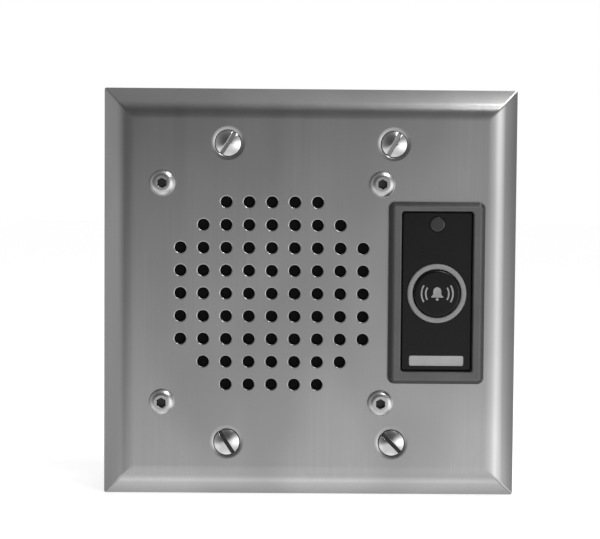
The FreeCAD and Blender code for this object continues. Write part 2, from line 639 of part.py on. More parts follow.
def make_speaker_leads():
    """Two short leads from the lugs to the front of the board, with a gentle step."""
    start = SPEAKER_FRONT + " + dims.ledge_level + dims.basket_sheet + dims.strip_depth + dims.lug_length"
    body = new_body("speaker_leads", half_back("dims.grille_x", "dims.lug_spacing"), start, "dims.lug_level")
    reach = "(%s) - (%s)" % (BOARD_FRONT, start)
    cut = "dims.lead_bend"
    angle = "atan(3 * dims.lead_bow / (%s))" % reach
    bend = "%s / tan(%s / 2)" % (cut, angle)
    first, second = "(%s) / 3" % reach, "2 * (%s) / 3" % reach
    path = new_sketch(body, "route", "YZ_Plane")
    outline(path, [("0", "0"),
                   ("%s - %s" % (first, cut), "0", bend, 1),
                   ("%s + %s * cos(%s)" % (first, cut, angle), "%s * sin(%s)" % (cut, angle)),
                   ("%s - %s * cos(%s)" % (second, cut, angle),
                    "dims.lead_bow - %s * sin(%s)" % (cut, angle), bend, -1),
                   ("%s + %s" % (second, cut), "dims.lead_bow"),
                   (reach, "dims.lead_bow")], closed=False)
    section = new_sketch(body, "section")
    circle(section, "0", "0", "dims.lead_radius")
    doc.recompute()
    lead = add(body, "AdditivePipe", "lead")
    lead.Profile = section
    lead.Spine = (path, [])
    doc.recompute()
    spread(body, width="dims.lug_spacing")


# -------------------------------------------------------- clamp plate and board
def make_clamp():
    """Stamped plate behind the speaker rim, waisted beside the button module."""
    body = new_body("speaker_clamp", "dims.grille_x", CLAMP_FRONT)
    half, waist, ear = "dims.clamp_half", "dims.clamp_waist", "dims.clamp_ear"
    step = "dims.clamp_ear_level"
    shape = new_sketch(body, "stamping")
    outline(shape, [("-" + half, "-" + half), (ear, "-" + half), (ear, "-" + step), (waist, "-" + step),
                    (waist, step), (ear, step), (ear, half), ("-" + half, half)])
    circle(shape, "0", "0", "dims.clamp_opening")
    for x, z in ring_screw_places("0"):
        circle(shape, x, z, "dims.clearance_radius")
    plate = pad(body, shape, "stamped_plate", "dims.clamp_sheet")
    reach = value(half) - 1
    corners = edges_where(plate, lambda edge: edge.BoundBox.XLength < 1e-3 and edge.BoundBox.ZLength < 1e-3
                          and abs(edge.CenterOfMass.x) > reach and abs(edge.CenterOfMass.z) > reach)
    fillet(body, plate, "corners", corners, "dims.clamp_corner")


def make_board():
    body = new_body("main_board", "dims.grille_x", BOARD_FRONT)
    shape = new_sketch(body, "board_outline")
    rectangle(shape, "0", "0", "dims.board_side", "dims.board_side", "dims.board_corner")
    for x, z in ring_screw_places("0"):
        circle(shape, x, z, "dims.clearance_radius")
    pad(body, shape, "board", "dims.board_sheet")


def cross_recess(body, level, width, length, depth, role="XZ_Plane"):
    """Cross-shaped recess, cut from a plane beyond the head down to a depth below it."""
    for name, turned in (("recess_up", 90), ("recess_across", 0)):
        sketch = new_sketch(body, name, role, level + " + dims.overcut")
        slot(sketch, "0", "0", width, length, turned)
        pocket(body, sketch, name + "_cut", depth + " + dims.overcut", forward=role == "XZ_Plane")


def rear_screws(label, x, y, z, head, recess, span_x, span_z):
    """Pan-head screws driven from behind; head is (radius, depth, round, thread, length)."""
    body = new_body(label, half_back(x, span_x), y, half_back(z, span_z))
    turn(body, button_profile(*head, way=-1))
    cross_recess(body, head[1], recess[0], RECESS_LENGTH + head[0], recess[1])
    spread(body, span_x, span_z)


def board_part(label, x, z, y="0"):
    """Body on the rear face of the main board, from the board's own centre."""
    return new_body(label, "dims.grille_x + " + x, BOARD_REAR + " + " + y, z)


def make_terminal_block():
    """Four-way screw terminal for the field wiring, wired from below."""
    body = board_part("terminal_block", "0", "dims.block_level")
    shape = new_sketch(body, "block_outline")
    rectangle(shape, "0", "0", "dims.block_width", "dims.block_height")
    pad(body, shape, "block", "dims.block_depth")
    wells = new_sketch(body, "wells", level="dims.block_depth")
    entries = new_sketch(body, "entries", "XY_Plane", "-dims.block_height / 2")
    for way in range(4):
        x = "(%d - 1.5) * dims.block_pitch" % way
        circle(wells, x, "0", "dims.well_radius")
        rectangle(entries, x, "dims.entry_centre", "dims.entry_width", "dims.entry_depth")
    pocket(body, wells, "screw_wells", "dims.well_depth", forward=True)
    pocket(body, entries, "wire_entries", "dims.entry_run", forward=True)

    screws = board_part("terminal_screws", "-1.5 * dims.block_pitch", "dims.block_level",
                        "dims.block_depth - dims.well_depth")
    shape = new_sketch(screws, "head")
    circle(shape, "0", "0", "dims.clamp_screw_radius")
    pad(screws, shape, "cheese_head", "dims.clamp_screw_length")
    cut = new_sketch(screws, "slot", level="dims.clamp_screw_length")
    slot(cut, "0", "0", "dims.small_slot", "5 * dims.small_slot", 70)
    pocket(screws, cut, "driver_slot", "dims.small_slot_depth", forward=True)
    spread(screws, width="3 * dims.block_pitch", columns=4)


def make_transformer():
    """Line transformer: a stack of E laminations with a winding round its middle leg."""
    core = board_part("transformer_core", "dims.core_x", "dims.core_level")
    leg = "dims.leg_width"
    shape = new_sketch(core, "lamination", "XY_Plane")
    rectangle(shape, "0", "dims.core_depth / 2", "dims.core_width", "dims.core_depth")
    gap = "(dims.winding_width - %s) / 2 + dims.core_fit" % leg
    for side in (-1, 1):
        rectangle(shape, "%d * (%s + (%s)) / 2" % (side, leg, gap), "dims.core_depth / 2",
                  gap, "dims.core_depth - 2 * dims.core_yoke")
    pad(core, shape, "stack", "dims.core_height", symmetric=True)

    winding = board_part("transformer_winding", "dims.core_x", "dims.core_level")
    rise = "dims.core_depth - 2 * dims.core_yoke - 2 * dims.core_fit"
    shape = new_sketch(winding, "coil_outline", level="(dims.core_depth - (%s)) / 2" % rise)
    rectangle(shape, "0", "0", "dims.winding_width", "dims.winding_height", "dims.winding_round")
    rectangle(shape, "0", "0", leg + " + dims.core_fit", "dims.core_height + dims.core_fit")
    pad(winding, shape, "coil", rise)


def make_capacitors():
    """Two electrolytic cans with a scored vent."""
    body = board_part("capacitors", "dims.can_x", half_back("dims.can_level", "dims.can_spacing"))
    groove = "dims.can_groove_level"
    can = turn(body, [("0", "0"), ("dims.can_radius", "0"),
                      ("dims.can_radius", groove + " - dims.can_groove_half"),
                      ("dims.can_radius - dims.can_groove_depth", groove),
                      ("dims.can_radius", groove + " + dims.can_groove_half"),
                      ("dims.can_radius", "dims.can_length"), ("0", "dims.can_length")], name="can")
    fillet(body, can, "can_edge", level_edges(can, "dims.can_length"), "dims.can_round")
    cross_recess(body, "dims.can_length", "dims.can_score", RECESS_LENGTH + "dims.can_radius",
                 "dims.can_score_depth")
    spread(body, height="dims.can_spacing")


def make_chip():
    """Amplifier in an eight-pin package."""
    chip = board_part("amplifier_chip", "dims.chip_x", "dims.chip_level", "dims.chip_lift")
    shape = new_sketch(chip, "package")
    rectangle(shape, "0", "0", "dims.chip_width", "dims.chip_height")
    pad(chip, shape, "moulding", "dims.chip_depth")
    notch = new_sketch(chip, "notch", level="dims.chip_depth")
    circle(notch, "0", "dims.chip_height / 2", "dims.chip_notch")
    pocket(chip, notch, "end_mark", "dims.chip_notch_depth", forward=True)

    pins = board_part("chip_pins", "dims.chip_x", half_back("dims.chip_level", "3 * dims.pin_pitch"))
    edge, reach, skin = "dims.chip_width / 2", "dims.pin_reach", "dims.pin_sheet"
    top = "dims.chip_lift + dims.chip_depth / 2"
    shape = new_sketch(pins, "pin_shape", "XY_Plane")
    outline(shape, [(edge, top + " - " + skin), ("%s + %s - %s" % (edge, reach, skin), top + " - " + skin),
                    ("%s + %s - %s" % (edge, reach, skin), "0"), ("%s + %s" % (edge, reach), "0"),
                    ("%s + %s" % (edge, reach), top), (edge, top)])
    pad(pins, shape, "pin", "dims.pin_width", symmetric=True)
    mirror(pins, "YZ_Plane", "both_sides")
    spread(pins, height="3 * dims.pin_pitch", rows=4)


def make_trimmer():
    """Volume trimmer: a square body with a slotted rotor in its well."""
    body = board_part("volume_trimmer", "dims.trimmer_x", "dims.trimmer_level")
    shape = new_sketch(body, "case")
    rectangle(shape, "0", "0", "dims.trimmer_side", "dims.trimmer_side")
    pad(body, shape, "moulding", "dims.trimmer_depth")
    well = new_sketch(body, "well", level="dims.trimmer_depth")
    circle(well, "0", "0", "dims.rotor_radius + dims.rotor_fit")
    pocket(body, well, "rotor_well", "dims.trimmer_well_depth", forward=True)

    rotor = board_part("trimmer_rotor", "dims.trimmer_x", "dims.trimmer_level",
                       "dims.trimmer_depth - dims.trimmer_well_depth + dims.rotor_gap")
    shape = new_sketch(rotor, "disc")
    circle(shape, "0", "0", "dims.rotor_radius")
    pad(rotor, shape, "disc_solid", "dims.rotor_depth")
    cut = new_sketch(rotor, "slot", level="dims.rotor_depth")
    slot(cut, "0", "0", "dims.rotor_slot", "dims.rotor_slot_length", 90)
    slot(cut, "dims.rotor_mark", "0", "dims.rotor_mark_width", "dims.rotor_mark_length", 0)
    pocket(rotor, cut, "driver_slot", "dims.rotor_slot_depth", forward=True)


def make_resistors():
    """Five resistors lying across the board on bent leads."""
    reach = "4 * dims.resistor_pitch"
    body = board_part("resistors", "dims.resistor_x", half_back("dims.resistor_level", reach))
    middle, full, waist = "dims.resistor_lift", "dims.resistor_radius", "dims.resistor_waist"
    end, lead, span = "dims.resistor_length / 2", "dims.resistor_lead", "dims.resistor_span / 2"
    shoulder = "%s - dims.resistor_cap" % end
    step = shoulder + " - dims.resistor_step"
    barrel = new_sketch(body, "barrel", "XY_Plane", "0")
    rise = lambda radius: "%s + %s" % (middle, radius)
    outline(barrel, [("-" + span, middle), ("-" + span, rise(lead)), ("-" + end, rise(lead)),
                     ("-" + end, rise(full)), ("-(%s)" % shoulder, rise(full)), ("-(%s)" % step, rise(waist)),
                     (step, rise(waist)), (shoulder, rise(full)), (end, rise(full)),
                     (end, rise(lead)), (span, rise(lead)), (span, middle)])
    feature = add(body, "Revolution", "barrel_turned")
    feature.Profile = barrel
    feature.ReferenceAxis = (barrel, ["Edge12"])
    feature.Angle = 360
    doc.recompute()
    legs = new_sketch(body, "legs")
    for side in (-1, 1):
        circle(legs, "%d * (%s - %s)" % (side, span, lead), "0", "dims.resistor_leg")
    pad(body, legs, "lead_ends", middle + " + dims.resistor_leg")
    spread(body, height=reach, rows=5)


# --------------------------------------------------------------- button module
def module_body(label, x="0", y="0", z="0"):
    """Body of the button module, measured from the front of the plate."""
    return new_body(label, "dims.module_x + " + x, FACE + " + " + y, "dims.module_level + " + z)


def four(sketch, x, z, draw):
    """Draw something at (x, z) and at its three mirror places."""
    for i in (-1, 1):
        for j in (-1, 1):
            draw(sketch, "%d * %s" % (i, x), "%d * %s" % (j, z))


def make_bezel():
    """Moulded frame and housing: sloped flange, lip, recess, web, posts and bosses."""
    body = module_body("button_bezel")
    rear_of_flange = "-dims.gasket_sheet"
    crest = "-(dims.gasket_sheet + dims.bezel_edge + dims.bezel_rise)"
    web_rear = "dims.web - dims.gasket_sheet"

    box = new_sketch(body, "housing_outline", level=rear_of_flange)
    rectangle(box, "0", "0", "dims.housing_width", "dims.housing_height", "dims.housing_corner")
    depth = "dims.housing_depth"
    pad(body, box, "housing", depth)

    edge = new_sketch(body, "flange_outline", level=rear_of_flange)
    rectangle(edge, "0", "0", "dims.bezel_width", "dims.bezel_height", "dims.bezel_corner")
    pad(body, edge, "flange_edge", "dims.bezel_edge", forward=True)
    slope = new_sketch(body, "slope_outline", level=rear_of_flange + " - dims.bezel_edge")
    rectangle(slope, "0", "0", "dims.bezel_width", "dims.bezel_height", "dims.bezel_corner")
    pad(body, slope, "slope", "dims.bezel_rise", forward=True, taper="-dims.bezel_slope")

    recess = new_sketch(body, "recess_outline", level=rear_of_flange)
    rectangle(recess, "0", "dims.recess_lift", "dims.recess_width", "dims.recess_height", "dims.panel_corner")
    opened = pocket(body, recess, "recess", "dims.bezel_edge + dims.bezel_rise", forward=True,
                    taper="dims.recess_slope")
    fillet(body, opened, "lip", level_edges(opened, crest), "dims.bezel_lip_round")

    inner_width = "dims.housing_width - 2 * dims.housing_wall"
    inner_height = "dims.housing_height - 2 * dims.housing_wall"
    cavity = new_sketch(body, "cavity_outline", level=rear_of_flange + " + " + depth)
    rectangle(cavity, "0", "0", inner_width, inner_height)
    pocket(body, cavity, "cavity", "%s - dims.web" % depth, forward=True)

    posts = new_sketch(body, "posts", level=web_rear)
    four(posts, "dims.post_x", "dims.post_level",
         lambda sketch, x, z: circle(sketch, x, z, "dims.post_radius"))
    pad(body, posts, "board_posts", "dims.post_end - (%s)" % web_rear)
    bosses = new_sketch(body, "bosses", level=web_rear)
    boss_x = "((%s) / 2 - dims.boss_width / 2 + dims.boss_root)" % inner_width
    boss_z = "((%s) / 2 - dims.boss_height / 2 + dims.boss_root)" % inner_height
    four(bosses, boss_x, boss_z,
         lambda sketch, x, z: rectangle(sketch, x, z, "dims.boss_width", "dims.boss_height"))
    pad(body, bosses, "clip_bosses", "dims.boss_depth")

    holes = new_sketch(body, "web_holes", level=rear_of_flange)
    circle(holes, "0", "0", "dims.ring_inner")
    circle(holes, "0", "dims.led_level", "dims.led_hole")
    pocket(body, holes, "web_openings", "dims.web")
    bores = new_sketch(body, "post_bores", level="dims.post_end")
    four(bores, "dims.post_x", "dims.post_level",
         lambda sketch, x, z: circle(sketch, x, z, "dims.post_bore"))
    pocket(body, bores, "post_bores_cut", "dims.post_bore_depth", forward=True)
    for name, way in (("lower", -1), ("upper", 1)):
        end = "%d * dims.housing_height / 2" % way
        clip_bores = new_sketch(body, name + "_clip_bores", "XY_Plane", end)
        for side in (-1, 1):
            circle(clip_bores, "%d * dims.boss_x" % side, "dims.clip_screw_level", "dims.boss_bore")
        pocket(body, clip_bores, name + "_bores_cut", "dims.boss_bore_depth", forward=way < 0)


def make_bezel_gasket():
    body = module_body("bezel_gasket", y="-dims.gasket_sheet")
    shape = new_sketch(body, "frame")
    rectangle(shape, "0", "0", "dims.gasket_width", "dims.gasket_height", "dims.bezel_corner")
    rectangle(shape, "0", "0", "dims.housing_width + dims.housing_fit",
              "dims.housing_height + dims.housing_fit", "dims.housing_corner")
    pad(body, shape, "foam", "dims.gasket_sheet")


def make_front_panel():
    """Dark insert in the recess, the ring round the button, blank label and lens."""
    web_front = "-dims.gasket_sheet"
    panel_front = "%s - dims.panel_sheet" % web_front
    panel = module_body("call_panel", y=panel_front)
    shape = new_sketch(panel, "panel_outline")
    rectangle(shape, "0", "dims.recess_lift", "dims.recess_width - 2 * dims.panel_fit",
              "dims.recess_height - 2 * dims.panel_fit", "dims.panel_corner")
    circle(shape, "0", "0", "dims.ring_outer + dims.insert_fit")
    circle(shape, "0", "dims.led_level", "dims.lens_radius + dims.insert_fit")
    pad(panel, shape, "insert", "dims.panel_sheet")

    ring = module_body("trim_ring", y=web_front)
    turned = turn(ring, ring_profile("dims.ring_inner", "dims.ring_outer", "-dims.ring_depth", "0"))
    fillet(ring, turned, "ring_edges", level_edges(turned, "-dims.ring_depth"), "dims.ring_round")

    label = module_body("label_strip", y=panel_front + " - dims.label_sheet", z="dims.label_level")
    shape = new_sketch(label, "strip_outline")
    rectangle(shape, "0", "0", "dims.label_width", "dims.label_height", "dims.label_corner")
    pad(label, shape, "strip", "dims.label_sheet")

    lens = module_body("indicator_lens", y=web_front, z="dims.led_level")
    disc = turn(lens, [("0", "-dims.lens_depth"), ("dims.lens_radius", "-dims.lens_depth"),
                       ("dims.lens_radius", "0"), ("0", "0")])
    fillet(lens, disc, "lens_edge", level_edges(disc, "-dims.lens_depth"), "dims.lens_round")


def make_led():
    """Five-volt indicator behind the lens, and its two legs down to the board."""
    led = module_body("indicator_led", y="-dims.led_tip", z="dims.led_level")
    turn(led, [("0", "0", "dims.led_radius", 1), ("dims.led_radius", "dims.led_radius"),
               ("dims.led_radius", "dims.led_length - dims.led_collar_depth"),
               ("dims.led_collar", "dims.led_length - dims.led_collar_depth"),
               ("dims.led_collar", "dims.led_length"), ("0", "dims.led_length")])
    base = "dims.led_length - dims.led_tip"
    legs = module_body("led_legs", "-dims.led_lead_spacing / 2", base, "dims.led_level")
    shape = new_sketch(legs, "leg")
    rectangle(shape, "0", "0", "dims.led_lead", "dims.led_lead")
    pad(legs, shape, "wire", "dims.post_end - (%s)" % base)
    spread(legs, width="dims.led_lead_spacing")


def make_push_button():
    """Cap with a retaining shoulder and a stem, seen through the ring."""
    button = module_body("push_button")
    turned = turn(button, [("0", "-dims.button_front"), ("dims.button_radius", "-dims.button_front"),
                           ("dims.button_radius", "dims.button_shoulder"),
                           ("dims.shoulder_radius", "dims.button_shoulder"),
                           ("dims.shoulder_radius", "dims.button_shoulder + dims.shoulder_depth"),
                           ("dims.stem_radius", "dims.button_shoulder + dims.shoulder_depth"),
                           ("dims.stem_radius", "dims.stem_end"), ("0", "dims.stem_end")])
    fillet(button, turned, "cap_edge", level_edges(turned, "-dims.button_front"), "dims.button_round")


def sector(sketch, radius, sheet_width, side, half_angle):
    """Arc-shaped bar centred on the X axis, left (-1) or right (+1)."""
    outer, inner = "(%s + %s / 2)" % (radius, sheet_width), "(%s - %s / 2)" % (radius, sheet_width)
    across = lambda size: "%d * %s * cos(%s)" % (side, size, half_angle)
    up = lambda size, way: "%d * %s * sin(%s)" % (way, size, half_angle)
    outline(sketch, [(across(outer), up(outer, -side), outer, 1), (across(outer), up(outer, side)),
                     (across(inner), up(inner, side), inner, -1), (across(inner), up(inner, -side))])


def make_symbol():
    """Plain bell between sound waves, printed proud of the cap in place of any wording."""
    body = module_body("button_symbol", y="-dims.button_front - dims.symbol_depth")
    shape = new_sketch(body, "bell_outline")
    tall, wide = "dims.bell_height", "dims.bell_width"
    dome = "0.31 * " + wide
    outline(shape, [("-%s / 2" % wide, "-0.27 * " + tall), ("%s / 2" % wide, "-0.27 * " + tall),
                    (dome, "-0.06 * " + tall), (dome, "0.46 * %s - %s" % (tall, dome), dome, 1),
                    ("0", "0.46 * " + tall, dome, 1), ("-" + dome, "0.46 * %s - %s" % (tall, dome)),
                    ("-" + dome, "-0.06 * " + tall)])
    circle(shape, "0", "-0.4 * " + tall, "0.1 * " + tall)
    for side in (-1, 1):
        for step in (0, 1):
            sector(shape, "(dims.wave_start + %d * dims.wave_step)" % step, "dims.wave_sheet", side,
                   "dims.wave_half_angle")
    pad(body, shape, "print", "dims.symbol_depth")


def make_button_works():
    """Guide, seal and return spring behind the cap."""
    web_rear = "dims.web - dims.gasket_sheet"
    guide = module_body("button_guide")
    turn(guide, [("dims.guide_inner", web_rear), ("dims.guide_outer", web_rear),
                 ("dims.guide_outer", "dims.guide_end"), ("dims.guide_bore", "dims.guide_end"),
                 ("dims.guide_bore", "dims.guide_floor"), ("dims.guide_inner", "dims.guide_floor")])
    seal = module_body("button_seal", y=web_rear)
    turn(seal, ring_profile("dims.seal_inner", "dims.seal_outer", "0", "dims.seal_depth"))

    start = "dims.button_shoulder + dims.shoulder_depth + dims.spring_gap"
    spring = module_body("button_spring", y=start)
    wire = new_sketch(spring, "wire_section", "XY_Plane")
    circle(wire, "dims.spring_radius", "dims.spring_wire", "dims.spring_wire")
    coil = add(spring, "AdditiveHelix", "coil")
    coil.Profile = wire
    coil.ReferenceAxis = (wire, ["V_Axis"])
    coil.Mode = "height-turns-angle"
    coil.setExpression("Height", "dims.guide_floor - (%s) - 2 * dims.spring_wire - dims.spring_gap" % start)
    coil.setExpression("Turns", "dims.spring_turns")
    doc.recompute()


def make_switch():
    """Board on the posts with a long-travel key switch and its sliding plunger."""
    board = module_body("switch_board", y="dims.post_end")
    shape = new_sketch(board, "board_outline")
    rectangle(shape, "0", "0", "dims.switch_board_width", "dims.switch_board_height")
    four(shape, "dims.post_x", "dims.post_level",
         lambda sketch, x, z: circle(sketch, x, z, "dims.small_clearance"))
    pad(board, shape, "board", "dims.board_sheet")

    case = module_body("switch_body", y="dims.post_end - dims.switch_depth")
    shape = new_sketch(case, "case_outline")
    rectangle(shape, "0", "0", "dims.switch_side", "dims.switch_side")
    pad(case, shape, "case", "dims.switch_depth")
    bore = new_sketch(case, "bore")
    circle(bore, "0", "0", "dims.switch_bore")
    pocket(case, bore, "plunger_bore", "dims.switch_bore_depth")

    plunger = module_body("switch_plunger", y="dims.stem_end + dims.plunger_gap")
    shape = new_sketch(plunger, "rod")
    circle(shape, "0", "0", "dims.plunger_radius")
    pad(plunger, shape, "rod_solid", "dims.plunger_length")

    pins = module_body("solder_pins", half_back("0", "dims.joint_x"), SWITCH_BOARD_REAR,
                       half_back("0", "dims.joint_level"))
    turn(pins, [("0", "0"), ("dims.joint_radius", "0"), ("dims.joint_tip", "dims.joint_rise"),
                ("0", "dims.joint_rise")])
    spread(pins, "dims.joint_x", "dims.joint_level")


def make_clips():
    """Two angle clips that pull the housing against the plate, and their four screws."""
    body = module_body("module_clips", y="dims.plate_sheet")
    inside, skin = "dims.housing_height / 2", "dims.clip_sheet"
    shape = new_sketch(body, "angle", "YZ_Plane")
    outline(shape, [("0", inside), ("dims.clip_leg", inside), ("dims.clip_leg", "%s + %s" % (inside, skin)),
                    (skin, "%s + %s" % (inside, skin)), (skin, "%s + dims.clip_foot" % inside),
                    ("0", "%s + dims.clip_foot" % inside)])
    pad(body, shape, "bent_strip", "dims.clip_width", symmetric=True)
    holes = new_sketch(body, "screw_holes", "XY_Plane", "%s + %s" % (inside, skin))
    for side in (-1, 1):
        circle(holes, "%d * dims.boss_x" % side, "dims.clip_screw_level - dims.plate_sheet",
               "dims.small_clearance")
    pocket(body, holes, "leg_holes", skin)
    mirror(body, "XY_Plane")

    seat = "dims.housing_height / 2 + dims.clip_sheet"
    screws = module_body("clip_screws", "-dims.boss_x", "dims.clip_screw_level")
    head, depth, rounded = "dims.small_pan_radius", "dims.small_pan_depth", "dims.small_pan_round"
    thread, length = "dims.small_thread", "dims.clip_screw_length"
    turn(screws, [(x, "%s + (%s)" % (seat, y)) + tuple(rest)
                  for x, y, *rest in button_profile(head, depth, rounded, thread, length, way=-1)],
         role="XZ_Plane")
    cross_recess(screws, "%s + %s" % (seat, depth), "dims.small_slot", RECESS_LENGTH + head,
                 "dims.small_slot_depth", "XY_Plane")
    mirror(screws, "XY_Plane")
    spread(screws, width="2 * dims.boss_x")


def make_ribbon():
    """Plug on the switch board, socket on the main board and the ribbon between them."""
    plug = module_body("ribbon_plug", "dims.ribbon_x", SWITCH_BOARD_REAR,
                       "dims.ribbon_level - dims.module_level")
    shape = new_sketch(plug, "plug_outline")
    rectangle(shape, "0", "0", "dims.socket_width", "dims.socket_height")
    pad(plug, shape, "plug", "dims.plug_depth")

    socket = new_body("ribbon_socket", "dims.header_x", BOARD_REAR, "dims.ribbon_level")
    shape = new_sketch(socket, "socket_outline")
    rectangle(shape, "0", "0", "dims.socket_width", "dims.socket_height")
    pad(socket, shape, "socket", "dims.header_depth")

    ribbon = new_body("ribbon_lead", z="dims.ribbon_level")
    start_x = "dims.module_x + dims.ribbon_x"
    start_y = "%s + %s + dims.plug_depth" % (FACE, SWITCH_BOARD_REAR)
    end_x, end_y = "dims.header_x + dims.socket_width / 2", BOARD_REAR + " + dims.ribbon_entry"
    half, bend = "dims.ribbon_sheet / 2", "dims.ribbon_bend"
    centre_x, centre_y = "%s - %s" % (start_x, bend), "%s - %s" % (end_y, bend)
    shape = new_sketch(ribbon, "ribbon_path", "XY_Plane")
    outline(shape, [("%s + %s" % (start_x, half), start_y),
                    ("%s + %s" % (start_x, half), centre_y, "%s + %s" % (bend, half), 1),
                    (centre_x, "%s + %s" % (end_y, half)), (end_x, "%s + %s" % (end_y, half)),
                    (end_x, "%s - %s" % (end_y, half)),
                    (centre_x, "%s - %s" % (end_y, half), "%s - %s" % (bend, half), -1),
                    ("%s - %s" % (start_x, half), centre_y), ("%s - %s" % (start_x, half), start_y)])
    pad(ribbon, shape, "ribbon", "dims.ribbon_height", symmetric=True)


# ------------------------------------------------------------------- the build
make_faceplate()
make_mounting_screws()
make_speaker_screws()
tube_group("clamp_spacers", INNER, "dims.spacer_radius", "dims.tapped_radius",
           "dims.cloth_depth + dims.gasket_depth + dims.basket_sheet")
make_front_seals()
make_basket()
make_cone()
make_dust_cap()
make_surround()
make_spider()
make_motor()
make_terminal_strip()
make_speaker_leads()
make_clamp()
tube_group("board_pillars", CLAMP_REAR, "dims.pillar_flats", "dims.tapped_radius", "dims.pillar_length",
           flats=True)
make_board()
rear_screws("board_screws", "dims.grille_x", BOARD_REAR, "0",
            ("dims.pan_radius", "dims.pan_depth", "dims.pan_round", "dims.thread_radius",
             "dims.board_screw_length"),
            ("dims.pan_slot", "dims.pan_slot_depth"), "dims.ring_screw_span", "dims.ring_screw_span")
make_terminal_block()
make_transformer()
make_capacitors()
make_chip()
make_trimmer()
make_resistors()
make_bezel()
make_bezel_gasket()
make_front_panel()
make_led()
make_push_button()
make_symbol()
make_button_works()
make_switch()
rear_screws("module_screws", "dims.module_x", "%s + %s" % (FACE, SWITCH_BOARD_REAR), "dims.module_level",
            ("dims.small_pan_radius", "dims.small_pan_depth", "dims.small_pan_round", "dims.small_thread",
             "dims.module_screw_length"),
            ("dims.small_slot", "dims.small_slot_depth"), "2 * dims.post_x", "2 * dims.post_level")
make_clips()
make_ribbon()
doc.recompute()

failed = [item.Label for item in doc.Objects if {"Invalid", "Error"} & set(item.State)]
broken = [body.Label for body in SUBPARTS if body.Shape.isNull() or not body.Shape.isValid()]
assert not failed and not broken, "failed: %s, broken: %s" % (failed, broken)
for body in SUBPARTS:
    body.Shape.exportStep("parts/%s.step" % body.Label)
    print("%-22s %3d solid %10.1f mm3" % (body.Label, len(body.Shape.Solids), body.Shape.Volume))
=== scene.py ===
"""Flush call point with a talk-back speaker: materials, finished meshes, floor, light and camera."""

import json
import math

import bmesh
import bpy
from mathutils import Matrix, Vector
from mathutils.geometry import delaunay_2d_cdt


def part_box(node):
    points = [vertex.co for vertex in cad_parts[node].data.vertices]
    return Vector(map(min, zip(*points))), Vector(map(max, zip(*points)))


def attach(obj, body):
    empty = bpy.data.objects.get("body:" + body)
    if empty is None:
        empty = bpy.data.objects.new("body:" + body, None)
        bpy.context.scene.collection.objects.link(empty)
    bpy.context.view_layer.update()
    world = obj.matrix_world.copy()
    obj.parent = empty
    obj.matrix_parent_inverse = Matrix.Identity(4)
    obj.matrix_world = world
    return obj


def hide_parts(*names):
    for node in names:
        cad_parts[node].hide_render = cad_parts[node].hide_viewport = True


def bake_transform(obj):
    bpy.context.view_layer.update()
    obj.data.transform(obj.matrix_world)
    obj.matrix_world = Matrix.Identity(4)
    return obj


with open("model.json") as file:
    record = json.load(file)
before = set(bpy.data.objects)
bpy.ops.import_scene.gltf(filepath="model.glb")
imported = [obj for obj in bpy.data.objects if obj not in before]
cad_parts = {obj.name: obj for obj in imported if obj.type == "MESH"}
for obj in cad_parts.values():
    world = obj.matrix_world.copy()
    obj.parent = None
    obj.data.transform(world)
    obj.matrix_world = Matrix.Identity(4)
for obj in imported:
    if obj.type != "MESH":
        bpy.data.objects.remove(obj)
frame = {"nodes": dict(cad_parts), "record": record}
NODES = frame["nodes"]
RECORD = frame["record"]
SLOT_OF = {part["node"]: part["material_slot"] for part in RECORD["subparts"]}
BODY_OF = {node: body for body, nodes in RECORD["behaviour"]["bodies"].items() for node in nodes}
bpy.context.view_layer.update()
MM = 0.001

# ------------------------------------------------------------------- materials
NEUTRAL = (1.0, 1.0, 1.0)
WAVES_PER_SCALE = 0.314


def maths_node(tree, kind, first, second=0.0):
    """Output of a maths node whose inputs are numbers or other outputs."""
    node = tree.nodes.new("ShaderNodeMath")
    node.operation = kind
    for index, number in enumerate((first, second)):
        if isinstance(number, bpy.types.NodeSocket):
            tree.links.new(number, node.inputs[index])
        else:
            node.inputs[index].default_value = number
    return node.outputs[0]


